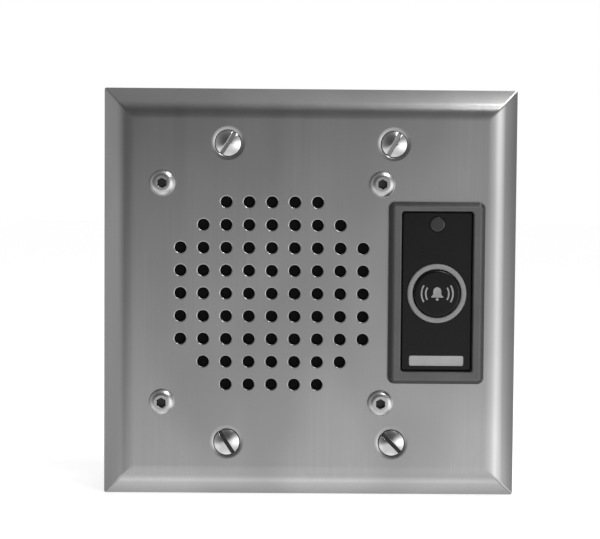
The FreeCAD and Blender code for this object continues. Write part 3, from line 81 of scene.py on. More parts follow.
class Shader:
    """A Principled material under construction, with object coordinates at hand."""

    def __init__(self, name, **direct):
        self.material = bpy.data.materials.new(name)
        self.material.use_nodes = True
        self.tree = self.material.node_tree
        self.nodes, self.links = self.tree.nodes, self.tree.links
        self.surface = self.nodes["Principled BSDF"]
        self.coordinates = self.nodes.new("ShaderNodeTexCoord").outputs["Object"]
        for socket, number in direct.items():
            self.surface.inputs[socket.replace("_", " ")].default_value = number

    def stretched(self, scale):
        mapping = self.nodes.new("ShaderNodeMapping")
        mapping.inputs["Scale"].default_value = scale
        self.links.new(self.coordinates, mapping.inputs["Vector"])
        return mapping.outputs["Vector"]

    def noise(self, scale, detail=3.0, stretch=None):
        """Noise with features about 1 / scale metres across."""
        texture = self.nodes.new("ShaderNodeTexNoise")
        texture.inputs["Scale"].default_value = scale
        texture.inputs["Detail"].default_value = detail
        self.links.new(self.stretched(stretch) if stretch else self.coordinates, texture.inputs["Vector"])
        return texture.outputs["Fac"]

    def between(self, factor, low, high, edges=(0.3, 0.7)):
        """Maps a factor's middle range onto numbers from low to high."""
        node = self.nodes.new("ShaderNodeMapRange")
        node.inputs["From Min"].default_value, node.inputs["From Max"].default_value = edges
        node.inputs["To Min"].default_value, node.inputs["To Max"].default_value = low, high
        self.links.new(factor, node.inputs["Value"])
        return node.outputs["Result"]

    def blend(self, factor, first, second, kind="MIX"):
        """Mixes two colours, each a tuple or an output."""
        node = self.nodes.new("ShaderNodeMix")
        node.data_type = "RGBA"
        node.blend_type = kind
        for index, colour in ((6, first), (7, second)):
            if isinstance(colour, bpy.types.NodeSocket):
                self.links.new(colour, node.inputs[index])
            else:
                node.inputs[index].default_value = (*colour, 1.0)
        self.links.new(factor, node.inputs[0])
        return node.outputs[2]

    def maths(self, kind, first, second=0.0):
        return maths_node(self.tree, kind, first, second)

    def axis(self, name):
        """One object coordinate, in metres."""
        node = self.nodes.new("ShaderNodeSeparateXYZ")
        self.links.new(self.coordinates, node.inputs[0])
        return node.outputs[name]

    def band(self, name, centre, half):
        """1 where an object coordinate is within half of a centre, else 0."""
        away = self.maths("ABSOLUTE", self.maths("SUBTRACT", self.axis(name), centre))
        return self.maths("LESS_THAN", away, half)

    def relief(self, *layers):
        """Raised detail: each layer is (height output, depth in metres)."""
        normal = None
        for height, depth in layers:
            node = self.nodes.new("ShaderNodeBump")
            node.inputs["Distance"].default_value = depth
            self.links.new(height, node.inputs["Height"])
            if normal:
                self.links.new(normal, node.inputs["Normal"])
            normal = node.outputs["Normal"]
        self.links.new(normal, self.surface.inputs["Normal"])

    def wire(self, socket, output):
        self.links.new(output, self.surface.inputs[socket])


def scaled(colour, factor):
    return tuple(min(1.0, channel * factor) for channel in colour)


def finish(name, colour, rough, metal=0.0, shade=0.1, patch=70.0, grain=2600.0, depth=0.02, stretch=None, **direct):
    """Plain finish: mottled colour, uneven gloss and a fine raised grain."""
    shader = Shader(name, Metallic=metal, **direct)
    mottle = shader.noise(patch, 4.0)
    fine = shader.noise(grain, 3.0, stretch)
    shader.wire("Base Color", shader.blend(shader.between(mottle, 0.0, 1.0), scaled(colour, 1 - shade),
                                           scaled(colour, 1 + shade)))
    shader.wire("Roughness", shader.between(shader.maths("ADD", mottle, fine), rough * 0.85, rough * 1.15,
                                            (0.7, 1.3)))
    shader.relief((fine, depth * MM))
    return shader.material


def sheet_steel(name, tone, rough, waves, direction=(1.0, 1.0, 0.012)):
    """Satin stainless sheet: faint one-way brushing, soft rolling patches and slow waves."""
    shader = Shader(name, Metallic=1.0)
    brushed = shader.noise(2600.0, 3.0, direction)
    streaks = shader.noise(300.0, 2.0, (1.0, 1.0, 0.04))
    cloud = shader.noise(30.0, 1.5, (1.0, 1.0, 0.7))
    waviness = shader.noise(17.0, 1.0, (1.0, 1.0, 0.6))
    base = shader.blend(shader.between(brushed, 0.0, 1.0), scaled((1, 1, 0.995), tone * 0.97),
                        scaled((1, 1, 0.995), tone * 1.03))
    base = shader.blend(shader.between(cloud, 0.0, 1.0, (0.42, 0.58)), base, scaled((1, 1, 1), tone * 0.86))
    shader.wire("Base Color", base)
    gloss = shader.maths("ADD", shader.between(cloud, rough * 0.92, rough * 1.08),
                         shader.between(streaks, -0.012, 0.012))
    shader.wire("Roughness", gloss)
    shader.relief((waviness, waves * MM), (brushed, 0.0012 * MM))
    return shader.material


def moulding_with_painted_lip_light(name, body, lip, start, end):
    """Black moulding whose front lip is painted paler between two depths, in millimetres: painted light on the face
    that meets the lamps, with the slopes left dark.
    """
    shader = Shader(name)
    mottle, fine = shader.noise(90.0, 4.0), shader.noise(3200.0)
    painted_lip_light = shader.between(shader.axis("Y"), 1.0, 0.0, (end * MM, start * MM))
    tone = shader.blend(painted_lip_light, scaled(NEUTRAL, body), scaled(NEUTRAL, lip))
    shader.wire("Base Color", shader.blend(shader.between(mottle, 0.0, 0.25), tone, scaled(NEUTRAL, body)))
    shader.wire("Roughness", shader.between(shader.maths("ADD", mottle, fine), 0.34, 0.46, (0.7, 1.3)))
    shader.relief((fine, 0.012 * MM))
    return shader.material


def circuit_board(name):
    """Green solder mask with glass weave under it."""
    shader = Shader(name, Coat_Weight=0.5, Coat_Roughness=0.15)
    weave = shader.nodes.new("ShaderNodeTexWave")
    weave.inputs["Scale"].default_value = 420.0
    weave.inputs["Distortion"].default_value = 0.4
    shader.links.new(shader.coordinates, weave.inputs["Vector"])
    cross = shader.nodes.new("ShaderNodeTexWave")
    cross.bands_direction = "Z"
    cross.inputs["Scale"].default_value = 420.0
    shader.links.new(shader.coordinates, cross.inputs["Vector"])
    cloth = shader.maths("MULTIPLY", weave.outputs["Fac"], cross.outputs["Fac"])
    tint = shader.blend(cloth, (0.012, 0.085, 0.035), (0.016, 0.11, 0.045))
    tint = shader.blend(shader.between(shader.noise(60.0), 0.0, 0.3), tint, (0.01, 0.06, 0.03))
    shader.wire("Base Color", tint)
    shader.wire("Roughness", shader.between(shader.noise(500.0), 0.32, 0.45))
    shader.relief((cloth, 0.006 * MM))
    return shader.material


def woven(name, colour, pitch, rough=0.9, **direct):
    """Plain weave with threads one pitch apart, in millimetres."""
    shader = Shader(name, **direct)
    waves = []
    for direction in ("X", "Z"):
        wave = shader.nodes.new("ShaderNodeTexWave")
        wave.bands_direction = direction
        wave.inputs["Scale"].default_value = WAVES_PER_SCALE / (pitch * MM)
        wave.inputs["Distortion"].default_value = 0.6
        wave.inputs["Detail Scale"].default_value = 2.0
        shader.links.new(shader.coordinates, wave.inputs["Vector"])
        waves.append(wave.outputs["Fac"])
    cloth = shader.maths("MAXIMUM", *waves)
    shader.wire("Base Color", shader.blend(cloth, scaled(colour, 0.45), colour))
    shader.wire("Roughness", shader.between(shader.noise(900.0), rough * 0.9, rough))
    shader.relief((cloth, 0.05 * MM))
    return shader.material


def resistor_paint(name):
    """Buff lacquer with four plain colour bands."""
    shader = Shader(name, Coat_Weight=0.4)
    colour = shader.blend(shader.between(shader.noise(400.0), 0.0, 1.0), (0.55, 0.4, 0.24), (0.62, 0.47, 0.3))
    centre = -19.7
    for place, tint in ((-2.5, (0.16, 0.06, 0.02)), (-0.9, (0.02, 0.02, 0.02)), (0.3, (0.5, 0.06, 0.03)),
                        (2.5, (0.5, 0.36, 0.08))):
        colour = shader.blend(shader.band("X", (centre + place) * MM, 0.3 * MM), colour, tint)
    for side in (-1, 1):
        away = shader.maths("MULTIPLY", shader.maths("SUBTRACT", shader.axis("X"), centre * MM), side)
        metal = shader.maths("GREATER_THAN", away, 3.21 * MM)
        colour = shader.blend(metal, colour, (0.6, 0.59, 0.57))
    shader.wire("Base Color", colour)
    shader.wire("Roughness", shader.between(shader.noise(1500.0), 0.3, 0.42))
    shader.relief((shader.noise(900.0), 0.01 * MM))
    return shader.material


def can_sleeve(name):
    """Dark shrink sleeve with a pale stripe down one side and a bare scored end."""
    shader = Shader(name, Coat_Weight=0.6, Coat_Roughness=0.12)
    stripe = shader.maths("LESS_THAN", shader.axis("X"), 3.8 * MM - 4.2 * MM)
    colour = shader.blend(stripe, (0.02, 0.025, 0.04), (0.34, 0.36, 0.38))
    bare = shader.maths("GREATER_THAN", shader.axis("Y"), 41.45 * MM)
    shader.wire("Base Color", shader.blend(bare, colour, (0.62, 0.62, 0.63)))
    shader.wire("Metallic", shader.maths("MULTIPLY", bare, 0.9))
    shader.wire("Roughness", shader.between(shader.noise(800.0), 0.28, 0.42))
    shader.relief((shader.noise(120.0), 0.05 * MM))
    return shader.material


def laminations(name):
    """Edges of stacked sheets, each slightly different."""
    shader = Shader(name, Metallic=0.85)
    sheets = shader.nodes.new("ShaderNodeTexWave")
    sheets.bands_direction = "Z"
    sheets.inputs["Scale"].default_value = WAVES_PER_SCALE / (0.5 * MM)
    shader.links.new(shader.coordinates, sheets.inputs["Vector"])
    each = shader.noise(2000.0, 1.0, (0.02, 0.02, 1.0))
    shader.wire("Base Color", shader.blend(each, (0.1, 0.1, 0.105), (0.26, 0.25, 0.24)))
    shader.wire("Roughness", shader.between(each, 0.4, 0.6))
    shader.relief((sheets.outputs["Fac"], 0.12 * MM))
    return shader.material


def wound_tape(name):
    """Amber winding tape, lapped round the coil."""
    shader = Shader(name, Coat_Weight=0.5, Coat_Roughness=0.2)
    laps = shader.nodes.new("ShaderNodeTexWave")
    laps.bands_direction = "Y"
    laps.wave_profile = "SAW"
    laps.inputs["Scale"].default_value = WAVES_PER_SCALE / (2.2 * MM)
    shader.links.new(shader.coordinates, laps.inputs["Vector"])
    shader.wire("Base Color", shader.blend(laps.outputs["Fac"], (0.5, 0.33, 0.04), (0.62, 0.44, 0.08)))
    shader.wire("Roughness", shader.between(shader.noise(300.0), 0.3, 0.45))
    shader.relief((laps.outputs["Fac"], 0.06 * MM), (shader.noise(250.0), 0.08 * MM))
    return shader.material


MATERIALS = {
    "stainless_sheet": sheet_steel("satin_stainless", 0.6, 0.3, 0.1),
    "screw_bright": finish("polished_screw", scaled(NEUTRAL, 0.82), 0.2, 1.0, 0.05, 300.0, 3000.0, 0.004),
    "screw_satin": finish("satin_screw", scaled(NEUTRAL, 0.72), 0.3, 1.0, 0.06, 300.0, 3000.0, 0.006),
    "spacer_nylon": finish("nylon", (0.7, 0.69, 0.64), 0.5, Subsurface_Weight=0.1),
    "cloth_black": woven("speaker_cloth", (0.004, 0.004, 0.004), 0.45, Specular_IOR_Level=0.15),
    "foam_black": finish("closed_cell_foam", (0.03, 0.03, 0.03), 0.9, depth=0.08, grain=1800.0),
    "basket_steel": finish("black_basket_paint", (0.035, 0.035, 0.036), 0.38, depth=0.02, grain=1500.0,
                           Coat_Weight=0.3),
    "cone_paper": finish("cone_paper", (0.03, 0.03, 0.03), 0.85, depth=0.06, grain=1200.0, patch=200.0),
    "surround_rubber": finish("surround_rubber", (0.02, 0.02, 0.02), 0.6),
    "spider_cloth": woven("impregnated_cloth", (0.6, 0.42, 0.16), 0.5, 0.75),
    "coil_copper": finish("coil_former", (0.6, 0.27, 0.1), 0.4, 0.8),
    "plated_steel": finish("zinc_plate", (0.58, 0.58, 0.56), 0.36, 1.0, 0.12, 120.0, 1800.0, 0.01),
    "ferrite": finish("ferrite", (0.045, 0.045, 0.048), 0.62, 0.15, 0.25, 150.0, 1500.0, 0.05),
    "fibre_strip": finish("fibre_board", (0.3, 0.14, 0.06), 0.7),
    "tinned_brass": finish("tinned_brass", (0.7, 0.68, 0.6), 0.32, 1.0, 0.08, 400.0),
    "lead_pvc": finish("red_insulation", (0.42, 0.02, 0.015), 0.4),
    "clamp_steel": finish("pressed_steel", (0.52, 0.52, 0.5), 0.42, 1.0, 0.12, 90.0, 2000.0, 0.015),
    "pillar_brass": finish("nickel_brass", (0.66, 0.62, 0.5), 0.28, 1.0, 0.06, 200.0, 2600.0, 0.008),
    "board_green": circuit_board("solder_mask"),
    "screw_zinc": finish("zinc_screw", (0.66, 0.66, 0.65), 0.3, 1.0, 0.1, 400.0, 2600.0, 0.01),
    "terminal_green": finish("terminal_moulding", (0.03, 0.2, 0.06), 0.42),
    "lamination_steel": laminations("laminations"),
    "winding_tape": wound_tape("winding_tape"),
    "capacitor_sleeve": can_sleeve("capacitor_sleeve"),
    "chip_epoxy": finish("chip_epoxy", (0.018, 0.018, 0.02), 0.55, depth=0.03, grain=4000.0),
    "trimmer_blue": finish("trimmer_case", (0.012, 0.06, 0.3), 0.35),
    "rotor_white": finish("rotor", (0.72, 0.72, 0.68), 0.45),
    "resistor_body": resistor_paint("resistor_lacquer"),
    # The bezel's front lip is painted paler as painted light; the slopes stay dark.
    "bezel_black": moulding_with_painted_lip_light("bezel_moulding", 0.03, 0.11, -7.6, -8.5),
    "panel_black": finish("panel_insert", scaled(NEUTRAL, 0.004), 0.3, 0.0, 0.1, 110.0, 3600.0, 0.006,
                          Specular_IOR_Level=0.35),
    "ring_grey": finish("ring_moulding", scaled(NEUTRAL, 0.26), 0.42, 0.0, 0.06, 200.0, 3000.0, 0.01),
    "label_silver": finish("label_plate", scaled(NEUTRAL, 0.42), 0.45, 0.3, 0.14, 160.0, 2400.0, 0.008,
                           (0.03, 1.0, 1.0)),
    "lens_smoke": finish("smoked_lens", scaled(NEUTRAL, 0.035), 0.16, 0.0, 0.1, 300.0, 2000.0, 0.002, Coat_Weight=0.6,
                         Transmission_Weight=0.35),
    "led_red": finish("led_epoxy", (0.4, 0.02, 0.015), 0.15, Transmission_Weight=0.3),
    "button_black": finish("button_cap", scaled(NEUTRAL, 0.003), 0.28, 0.0, 0.1, 150.0, 3600.0, 0.006,
                           Specular_IOR_Level=0.35),
    "symbol_white": finish("pad_print", scaled(NEUTRAL, 0.3), 0.55, 0.0, 0.12, 500.0, 3000.0, 0.01),
    "guide_white": finish("acetal", (0.68, 0.68, 0.64), 0.45),
    "seal_rubber": finish("seal_rubber", (0.03, 0.03, 0.03), 0.7),
    "spring_steel": finish("spring_wire", (0.6, 0.6, 0.6), 0.22, 1.0, 0.06, 500.0),
    "switch_case": finish("switch_case", (0.03, 0.03, 0.033), 0.45),
    "plunger_white": finish("plunger", (0.72, 0.72, 0.68), 0.45),
    "solder": finish("solder", (0.62, 0.62, 0.64), 0.2, 1.0, 0.08, 700.0),
    "connector_white": finish("connector_nylon", (0.66, 0.64, 0.56), 0.5),
    "ribbon_grey": finish("ribbon_jacket", (0.3, 0.3, 0.32), 0.5, 0.0, 0.08, 200.0, 700.0, 0.06, (0.02, 0.02, 1.0)),
}

for node, thing in NODES.items():
    thing.data.materials.clear()
    thing.data.materials.append(MATERIALS[SLOT_OF[node]])

# ---------------------------------------------------------------- mesh helpers


def shade(piece, degrees=32):
    """Smooth faces with crisp edges, flats kept flat."""
    mesh = piece.data
    mesh.shade_smooth()
    mesh.set_sharp_from_angle(angle=math.radians(degrees))
    weights = piece.modifiers.new("flats", "WEIGHTED_NORMAL")
    weights.keep_sharp = True


def make_piece(name, geometry, slot, body):
    """New piece from a bmesh, riding on a body and finished from a slot."""
    bmesh.ops.recalc_face_normals(geometry, faces=geometry.faces)
    mesh = bpy.data.meshes.new(name)
    geometry.to_mesh(mesh)
    geometry.free()
    piece = bpy.data.objects.new(name, mesh)
    bpy.context.scene.collection.objects.link(piece)
    mesh.materials.append(MATERIALS[slot])
    if body:
        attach(piece, body)
    return piece


def refine(node, width=0.12, segments=2, shape=None):
    """Stands for a hard CAD node with its sharp edges rounded; shape may move the copy's vertices."""
    geometry = bmesh.new()
    geometry.from_mesh(NODES[node].data)
    bmesh.ops.remove_doubles(geometry, verts=geometry.verts, dist=1e-7)
    if shape:
        shape(geometry)
    bmesh.ops.dissolve_limit(geometry, angle_limit=math.radians(0.4), verts=geometry.verts, edges=geometry.edges)
    piece = make_piece(node + "_finished", geometry, SLOT_OF[node], BODY_OF[node])
    bevel = piece.modifiers.new("edges", "BEVEL")
    bevel.limit_method = "ANGLE"
    bevel.angle_limit = math.radians(34)
    bevel.width = width * MM
    bevel.segments = segments
    bevel.miter_outer = "MITER_ARC"
    shade(piece)
    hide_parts(node)
    return piece


def ring_of(geometry, x, y, z, radius, count):
    """Circle of vertices in an XZ plane, in millimetres."""
    steps = [2 * math.pi * k / count for k in range(count)]
    return [geometry.verts.new(Vector((x + radius * math.cos(a), y, z + radius * math.sin(a))) * MM) for a in steps]


def frame_of(geometry, x, y, z, width, height, corner, steps=4):
    """Rectangle of vertices with rounded corners in an XZ plane, in millimetres."""
    loop = []
    for quarter, (i, j) in enumerate(((1, 1), (-1, 1), (-1, -1), (1, -1))):
        for step in range(steps + 1):
            angle = math.pi / 2 * (quarter + step / steps)
            loop.append(geometry.verts.new(Vector((
                x + i * (width / 2 - corner) + corner * math.cos(angle), y,
                z + j * (height / 2 - corner) + corner * math.sin(angle))) * MM))
    return loop


def bridge(geometry, loops, closed=False):
    """Quads between following loops of the same length."""
    pairs = list(zip(loops, loops[1:]))
    if closed:
        pairs.append((loops[-1], loops[0]))
    for first, second in pairs:
        for k in range(len(first)):
            n = (k + 1) % len(first)
            geometry.faces.new((first[k], first[n], second[n], second[k]))


def fill(geometry, outer, holes):
    """Flat skin inside an outer loop and outside the holes."""
    verts, edges = [], []
    for loop in [outer] + holes:
        start = len(verts)
        verts += loop
        edges += [(start + k, start + (k + 1) % len(loop)) for k in range(len(loop))]
    places = [Vector((v.co.x, v.co.z)) * 1000 for v in verts]
    owner = [number for number, loop in enumerate([outer] + holes) for _ in loop]
    found = delaunay_2d_cdt(places, edges, [], 1, 1e-6, True)
    for face in found[2]:
        corners = [found[3][k][0] for k in face]
        owners = {owner[k] for k in corners}
        if len(owners) > 1 or owners == {0}:
            geometry.faces.new([verts[k] for k in corners])


# -------------------------------------------------------------------- faceplate
GRILLE_X, PITCH, HOLE = -10.7, 6.35, 1.5875
MODULE_X, MODULE_Z = 35.1, 0.45
BOX_SCREWS = [(i * 23.02, j * 41.67) for i in (-1, 1) for j in (-1, 1)]
RING_SCREWS = [(GRILLE_X + i * 30.5, j * 30.5) for i in (-1, 1) for j in (-1, 1)]


def level_skins(mesh):
    """Marks the outlines of the two flat skins as sharp, so that their shading doesn't bend at the holes."""
    level = {}
    for face in mesh.polygons:
        for key in face.edge_keys:
            level.setdefault(key, set()).add(abs(face.normal.y) > 0.99999)
    for edge in mesh.edges:
        if len(level[edge.key]) > 1:
            edge.use_edge_sharp = True


def grille_holes():
    for row in range(-4, 5):
        reach = 4 - max(0, abs(row) - 2)
        for column in range(-reach, reach + 1):
            yield GRILLE_X + PITCH * column, PITCH * row


def make_faceplate():
    """Pressed sheet with eased front bends, slightly bellied slopes, round hole edges and dished screw seats."""
    geometry = bmesh.new()
    width, height, slope, front, rear = 115.9, 114.3, math.tan(math.radians(43.9)), -5.5, -4.5
    bend, belly, lead = math.radians(46.1), math.radians(4), math.radians(8)
    radius, lead_radius, edge_y, steps = 5.5, 15, -0.12, 10
    rear_radius, rear_shift, hole_round = 2.4, 0.425, 0.26

    def rim(inset, y, corner):
        return frame_of(geometry, 0, y, 0, width - 2 * inset, height - 2 * inset, corner)

    def rolled(radius, first, last, inset, y, corner):
        """Loops of an arc between two tilts, from its far end back to the inset and depth where it begins."""
        return [rim(inset - radius * (math.sin(tilt) - math.sin(first)),
                    y + radius * (math.cos(first) - math.cos(tilt)), corner)
                for tilt in (last + (first - last) * k / steps for k in range(steps + 1))]

    start, end = bend - belly, bend + belly
    eased = front + lead_radius * (1 - math.cos(lead))
    low = eased + radius * (math.cos(lead) - math.cos(start))
    bend_inset = -low * slope + radius * (math.sin(start) - math.sin(lead))
    wide = (edge_y - low) / (math.cos(start) - math.cos(end))
    outside = ([rim(0.14, 0, 0.45), rim(0.03, -0.04, 0.5)]
               + rolled(wide, start, end, -low * slope, low, 0.5)
               + rolled(radius, lead, start, bend_inset, eased, 0.55)[1:]
               + rolled(lead_radius, 0, lead, bend_inset + lead_radius * math.sin(lead), front, 0.55)[1:])
    rear_inset = rear_radius * math.tan(bend / 2) - front * slope + rear_shift
    inside = [rim(1.388, 0, 0.4)] + rolled(rear_radius, 0, bend, rear_inset, rear, 0.4)
    bridge(geometry, outside)
    bridge(geometry, inside)
    bridge(geometry, [inside[0], outside[0]])

    front_holes, rear_holes = [], []

    def punched(loops):
        bridge(geometry, loops)
        front_holes.append(loops[0])
        rear_holes.append(loops[-1])

    for x, z in grille_holes():
        lip = [ring_of(geometry, x, front + hole_round * (1 - math.cos(a)), z,
                       HOLE + hole_round * (1 - math.sin(a)), 32)
               for a in (0, math.pi / 6, math.pi / 3, math.pi / 2)]
        punched(lip + [ring_of(geometry, x, rear, z, HOLE, 32)])
    for x, z in RING_SCREWS:
        punched([ring_of(geometry, x, y, z, 1.9, 32) for y in (front, rear)])
    for x, z in BOX_SCREWS:
        dish = [(4.75, -5.5), (4.4, -5.48), (4.05, -5.41), (3.75, -5.3), (3.62, -5.2), (2.3, -3.95), (1.95, -3.9),
                (1.95, -3.4), (3.8, -3.4), (4.9, rear)]
        punched([ring_of(geometry, x, y, z, radius, 40) for radius, y in dish])
    punched([frame_of(geometry, MODULE_X, y, MODULE_Z, 24.4, 47.8, 1.0) for y in (front, rear)])
    fill(geometry, outside[-1], front_holes)
    fill(geometry, inside[-1], rear_holes)
    plate = make_piece("pressed_faceplate", geometry, "stainless_sheet", BODY_OF["faceplate"])
    shade(plate, 34)
    level_skins(plate.data)
    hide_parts("faceplate")


make_faceplate()

# ------------------------------------------------------------------- fasteners


def threaded(geometry, x, z, start, end, major, minor, pitch, around=24):
    """Closed screw thread along Y, with its ends tapered, in millimetres."""
    rows = int((end - start) / pitch * 6)
    loops = []
    for row in range(rows + 1):
        y = start + (end - start) * row / rows
        lead = min(1.0, (y - start) / pitch, (end - y) / pitch)
        loop = []
        for k in range(around):
            turn = (y / pitch + k / around) % 1
            crest = max(0.0, 1 - abs(turn - 0.5) * 2.4) * lead
            radius = minor + (major - minor) * min(1.0, crest * 1.15)
            angle = 2 * math.pi * k / around
            loop.append(geometry.verts.new(
                Vector((x + radius * math.cos(angle), y, z + radius * math.sin(angle))) * MM))
        loops.append(loop)
    bridge(geometry, loops)
    for loop in (loops[0], loops[-1]):
        geometry.faces.new(loop)


def slim_shank(places, from_y, root):
    """Draws in a screw's shank behind from_y, so that its thread can stand on it."""
    def shape(geometry):
        for vert in geometry.verts:
            if vert.co.y > from_y * MM:
                x, z = min(places, key=lambda place: math.hypot(vert.co.x - place[0] * MM, vert.co.z - place[1] * MM))
                away = Vector((vert.co.x - x * MM, 0, vert.co.z - z * MM))
                if away.length > root * MM:
                    away.length = root * MM
                    vert.co.x, vert.co.z = x * MM + away.x, z * MM + away.z
    return shape


# Painted shade: dark metal laid on the floors of screw recesses and slots, standing in for the shade inside them.
SHADOWED = finish("painted_socket_shade", scaled(NEUTRAL, 0.07), 0.5, 0.8, 0.2, 900.0)


def paint_recess_shade(piece, places, reach, start, end):
    """Paints shade onto the faces of a screw's recess, within reach of its axis and between two depths, in
    millimetres.
    """
    piece.data.materials.append(SHADOWED)
    for face in piece.data.polygons:
        near = min(math.hypot(face.center.x - x * MM, face.center.z - z * MM) for x, z in places)
        if near < reach * MM and start * MM < face.center.y < end * MM:
            face.material_index = 1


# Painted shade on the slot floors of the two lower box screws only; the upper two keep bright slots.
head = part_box("mounting_screws")[0][1] / MM
paint_recess_shade(refine("mounting_screws", 0.14, 2, slim_shank(BOX_SCREWS, -1.9, 1.3)),
        [place for place in BOX_SCREWS if place[1] < 0], 3.4, head + 1.1, head + 1.2)
geometry = bmesh.new()
for x, z in BOX_SCREWS:
    threaded(geometry, x, z, start=-1.9, end=15.2, major=1.75, minor=1.34, pitch=0.794)
threads = make_piece("mounting_screw_threads", geometry, "screw_bright", BODY_OF["mounting_screws"])
shade(threads, 50)

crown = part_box("speaker_screws")[0][1] / MM
# Painted shade inside the hex sockets of the ring screws.
paint_recess_shade(refine("speaker_screws", 0.12, 2), RING_SCREWS, 1.5, crown + 0.1, crown + 1.5)
refine("board_screws", 0.12, 2)
refine("module_screws", 0.1, 2)
refine("clip_screws", 0.1, 2)

# --------------------------------------------------------------- speaker pieces


def make_cloth():
    """Black cloth stretched over the back of the holes, bellied very slightly between them."""
    geometry = bmesh.new()
    rings, around = 22, 72
    for level, rise in ((-4.49, 0.03), (-4.24, 0.0)):
        loops = []
        for k in range(1, rings + 1):
            radius = 32.9 * k / rings
            y = level + rise * math.cos(k * 1.7)
            loops.append(ring_of(geometry, GRILLE_X, y, 0, radius, around))
        geometry.faces.new(loops[0])
        bridge(geometry, loops)
        if level < -4.4:
            edge = loops[-1]
        else:
            bridge(geometry, [edge, loops[-1]])
    cloth = make_piece("stretched_cloth", geometry, "cloth_black", BODY_OF["acoustic_cloth"])
    shade(cloth, 40)
    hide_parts("acoustic_cloth")


make_cloth()
for node, width in (("magnet_top_plate", 0.2), ("magnet_yoke", 0.2), ("speaker_magnet", 0.15),
                    ("speaker_clamp", 0.15), ("board_pillars", 0.15), ("clamp_spacers", 0.1), ("solder_lugs", 0.08),
                    ("terminal_strip", 0.1)):
    refine(node, width)

# ------------------------------------------------------------- boards and parts
for node, width in (("main_board", 0.1), ("switch_board", 0.1), ("terminal_block", 0.2), ("terminal_screws", 0.1),
                    ("transformer_core", 0.1), ("transformer_winding", 0.3), ("amplifier_chip", 0.18),
                    ("volume_trimmer", 0.2), ("trimmer_rotor", 0.08), ("switch_body", 0.2), ("ribbon_plug", 0.15),
                    ("ribbon_socket", 0.15), ("module_clips", 0.15)):
    refine(node, width)


def ribbon_strip(geometry, points, y, width, rise):
    """Raised track through points (x, z) on a face at y, square-ended, in millimetres."""
    sides = []
    for k, point in enumerate(points):
        here = Vector(point)
        before = (here - Vector(points[k - 1])).normalized() if k else None
        after = (Vector(points[k + 1]) - here).normalized() if k + 1 < len(points) else None
        along = ((before or after) + (after or before)).normalized()
        stretch = 1 / max(0.5, along.dot(after or before))
        across = Vector((-along.y, along.x)) * width / 2 * stretch
        sides.append((here + across, here - across))
    rows = []
    for left, right in sides:
        rows.append([geometry.verts.new(Vector((p.x, level, p.y)) * MM)
                     for p, level in ((left, y), (left, y + rise), (right, y + rise), (right, y))])
    for first, second in zip(rows, rows[1:]):
        for k in range(3):
            geometry.faces.new((first[k], first[k + 1], second[k + 1], second[k]))
        geometry.faces.new((first[3], first[0], second[0], second[3]))
    geometry.faces.new(rows[0])
    geometry.faces.new(rows[-1])


def dome(geometry, x, y, z, radius, rise, around=16):
    """Small solder dome on a face at y."""
    loops = [ring_of(geometry, x, y + rise * math.sin(a), z, radius * math.cos(a), around)
             for a in (0, 0.35, 0.7, 1.05, 1.35)]
    bridge(geometry, loops)
    geometry.faces.new(loops[-1])
    geometry.faces.new(loops[0])


TRACKS = [
    [(-14.7, 27.8), (-17.0, 25.5), (-44.0, 25.5), (-44.0, 2.0), (-38.0, -4.0), (-38.0, -7.0)],
    [(-6.7, 27.8), (-6.7, 24.0), (-3.5, 20.8), (-3.5, 14.0), (2.0, 8.5)],
    [(-7.5, 6.8), (-2.0, 6.8), (2.0, 2.8), (16.0, 2.8)],
    [(-7.5, 4.3), (-3.5, 4.3), (0.8, 0.0), (18.9, 0.0), (18.9, 4.0)],
    [(-7.5, 1.7), (-4.0, 1.7), (-1.0, -1.3), (-1.0, -9.0), (-8.0, -16.0), (-14.4, -16.0)],
    [(-7.5, -0.8), (-5.0, -3.3), (-5.0, -6.0), (-14.4, -6.0)],
    [(-15.9, 6.8), (-20.0, 6.8), (-22.0, 4.8), (-28.0, 4.8)],
    [(-15.9, 4.3), (-19.0, 4.3), (-23.0, 0.3), (-31.0, 0.3), (-31.0, -9.5)],
    [(-15.9, 1.7), (-20.0, -2.4), (-24.8, -2.4), (-24.8, -5.5)],
    [(-15.9, -0.8), (-17.5, -2.4), (-17.5, -4.3)],
    [(-24.8, -9.4), (-28.0, -12.6), (-31.0, -12.6)],
    [(-24.8, -20.2), (-27.0, -22.4), (-27.0, -28.0), (-21.5, -28.0)],
    [(-14.4, -20.2), (-11.0, -20.2), (-8.2, -22.8)],
    [(-3.1, -22.8), (0.5, -19.2), (0.5, -12.0), (8.0, -4.5), (8.0, 0.0)],
    [(1.0, -27.5), (6.0, -27.5), (21.5, -12.0), (21.5, 3.5)],
    [(-36.7, -17.5), (-36.7, -26.0), (-31.0, -31.7), (-22.0, -31.7)],
    [(3.8, 22.2), (3.8, 28.0), (-0.5, 32.3), (-30.0, 32.3)],
    [(9.5, 16.0), (14.0, 16.0), (17.5, 12.5)],
]
JOINTS = [(-14.7, 27.8), (-6.7, 27.8)] + [(-19.7 + s * 4.8, -20.2 + 3.6 * k) for s in (-1, 1) for k in range(5)]
JOINTS += [(s + 3.8, 28.6) for s in (-2.5, 2.5)] + [(20.9 + 1.6, 5.2 + 1.2 * k) for k in range(5)]
VIAS = [(8.0, -4.5), (14.0, 16.0), (-27.0, -22.4), (0.5, -12.0), (-31.0, 0.3), (12.0, -22.0), (16.0, -26.0),
        (-40.0, -20.0), (-3.5, 14.0), (-22.0, 4.8)]
OUTLINES = [(-29.7, 15.0, 25.4, 20.6), (-11.7, 3.0, 11.0, 11.2), (-36.7, -12.0, 11.2, 11.2),
            (-10.7, -27.5, 22.0, 10.4), (18.9, 7.7, 5.6, 8.4), (3.8, 16.0, 12.4, 24.8)]
TRACK_LEVEL, JOINT_LEVEL = 25.59, 25.58

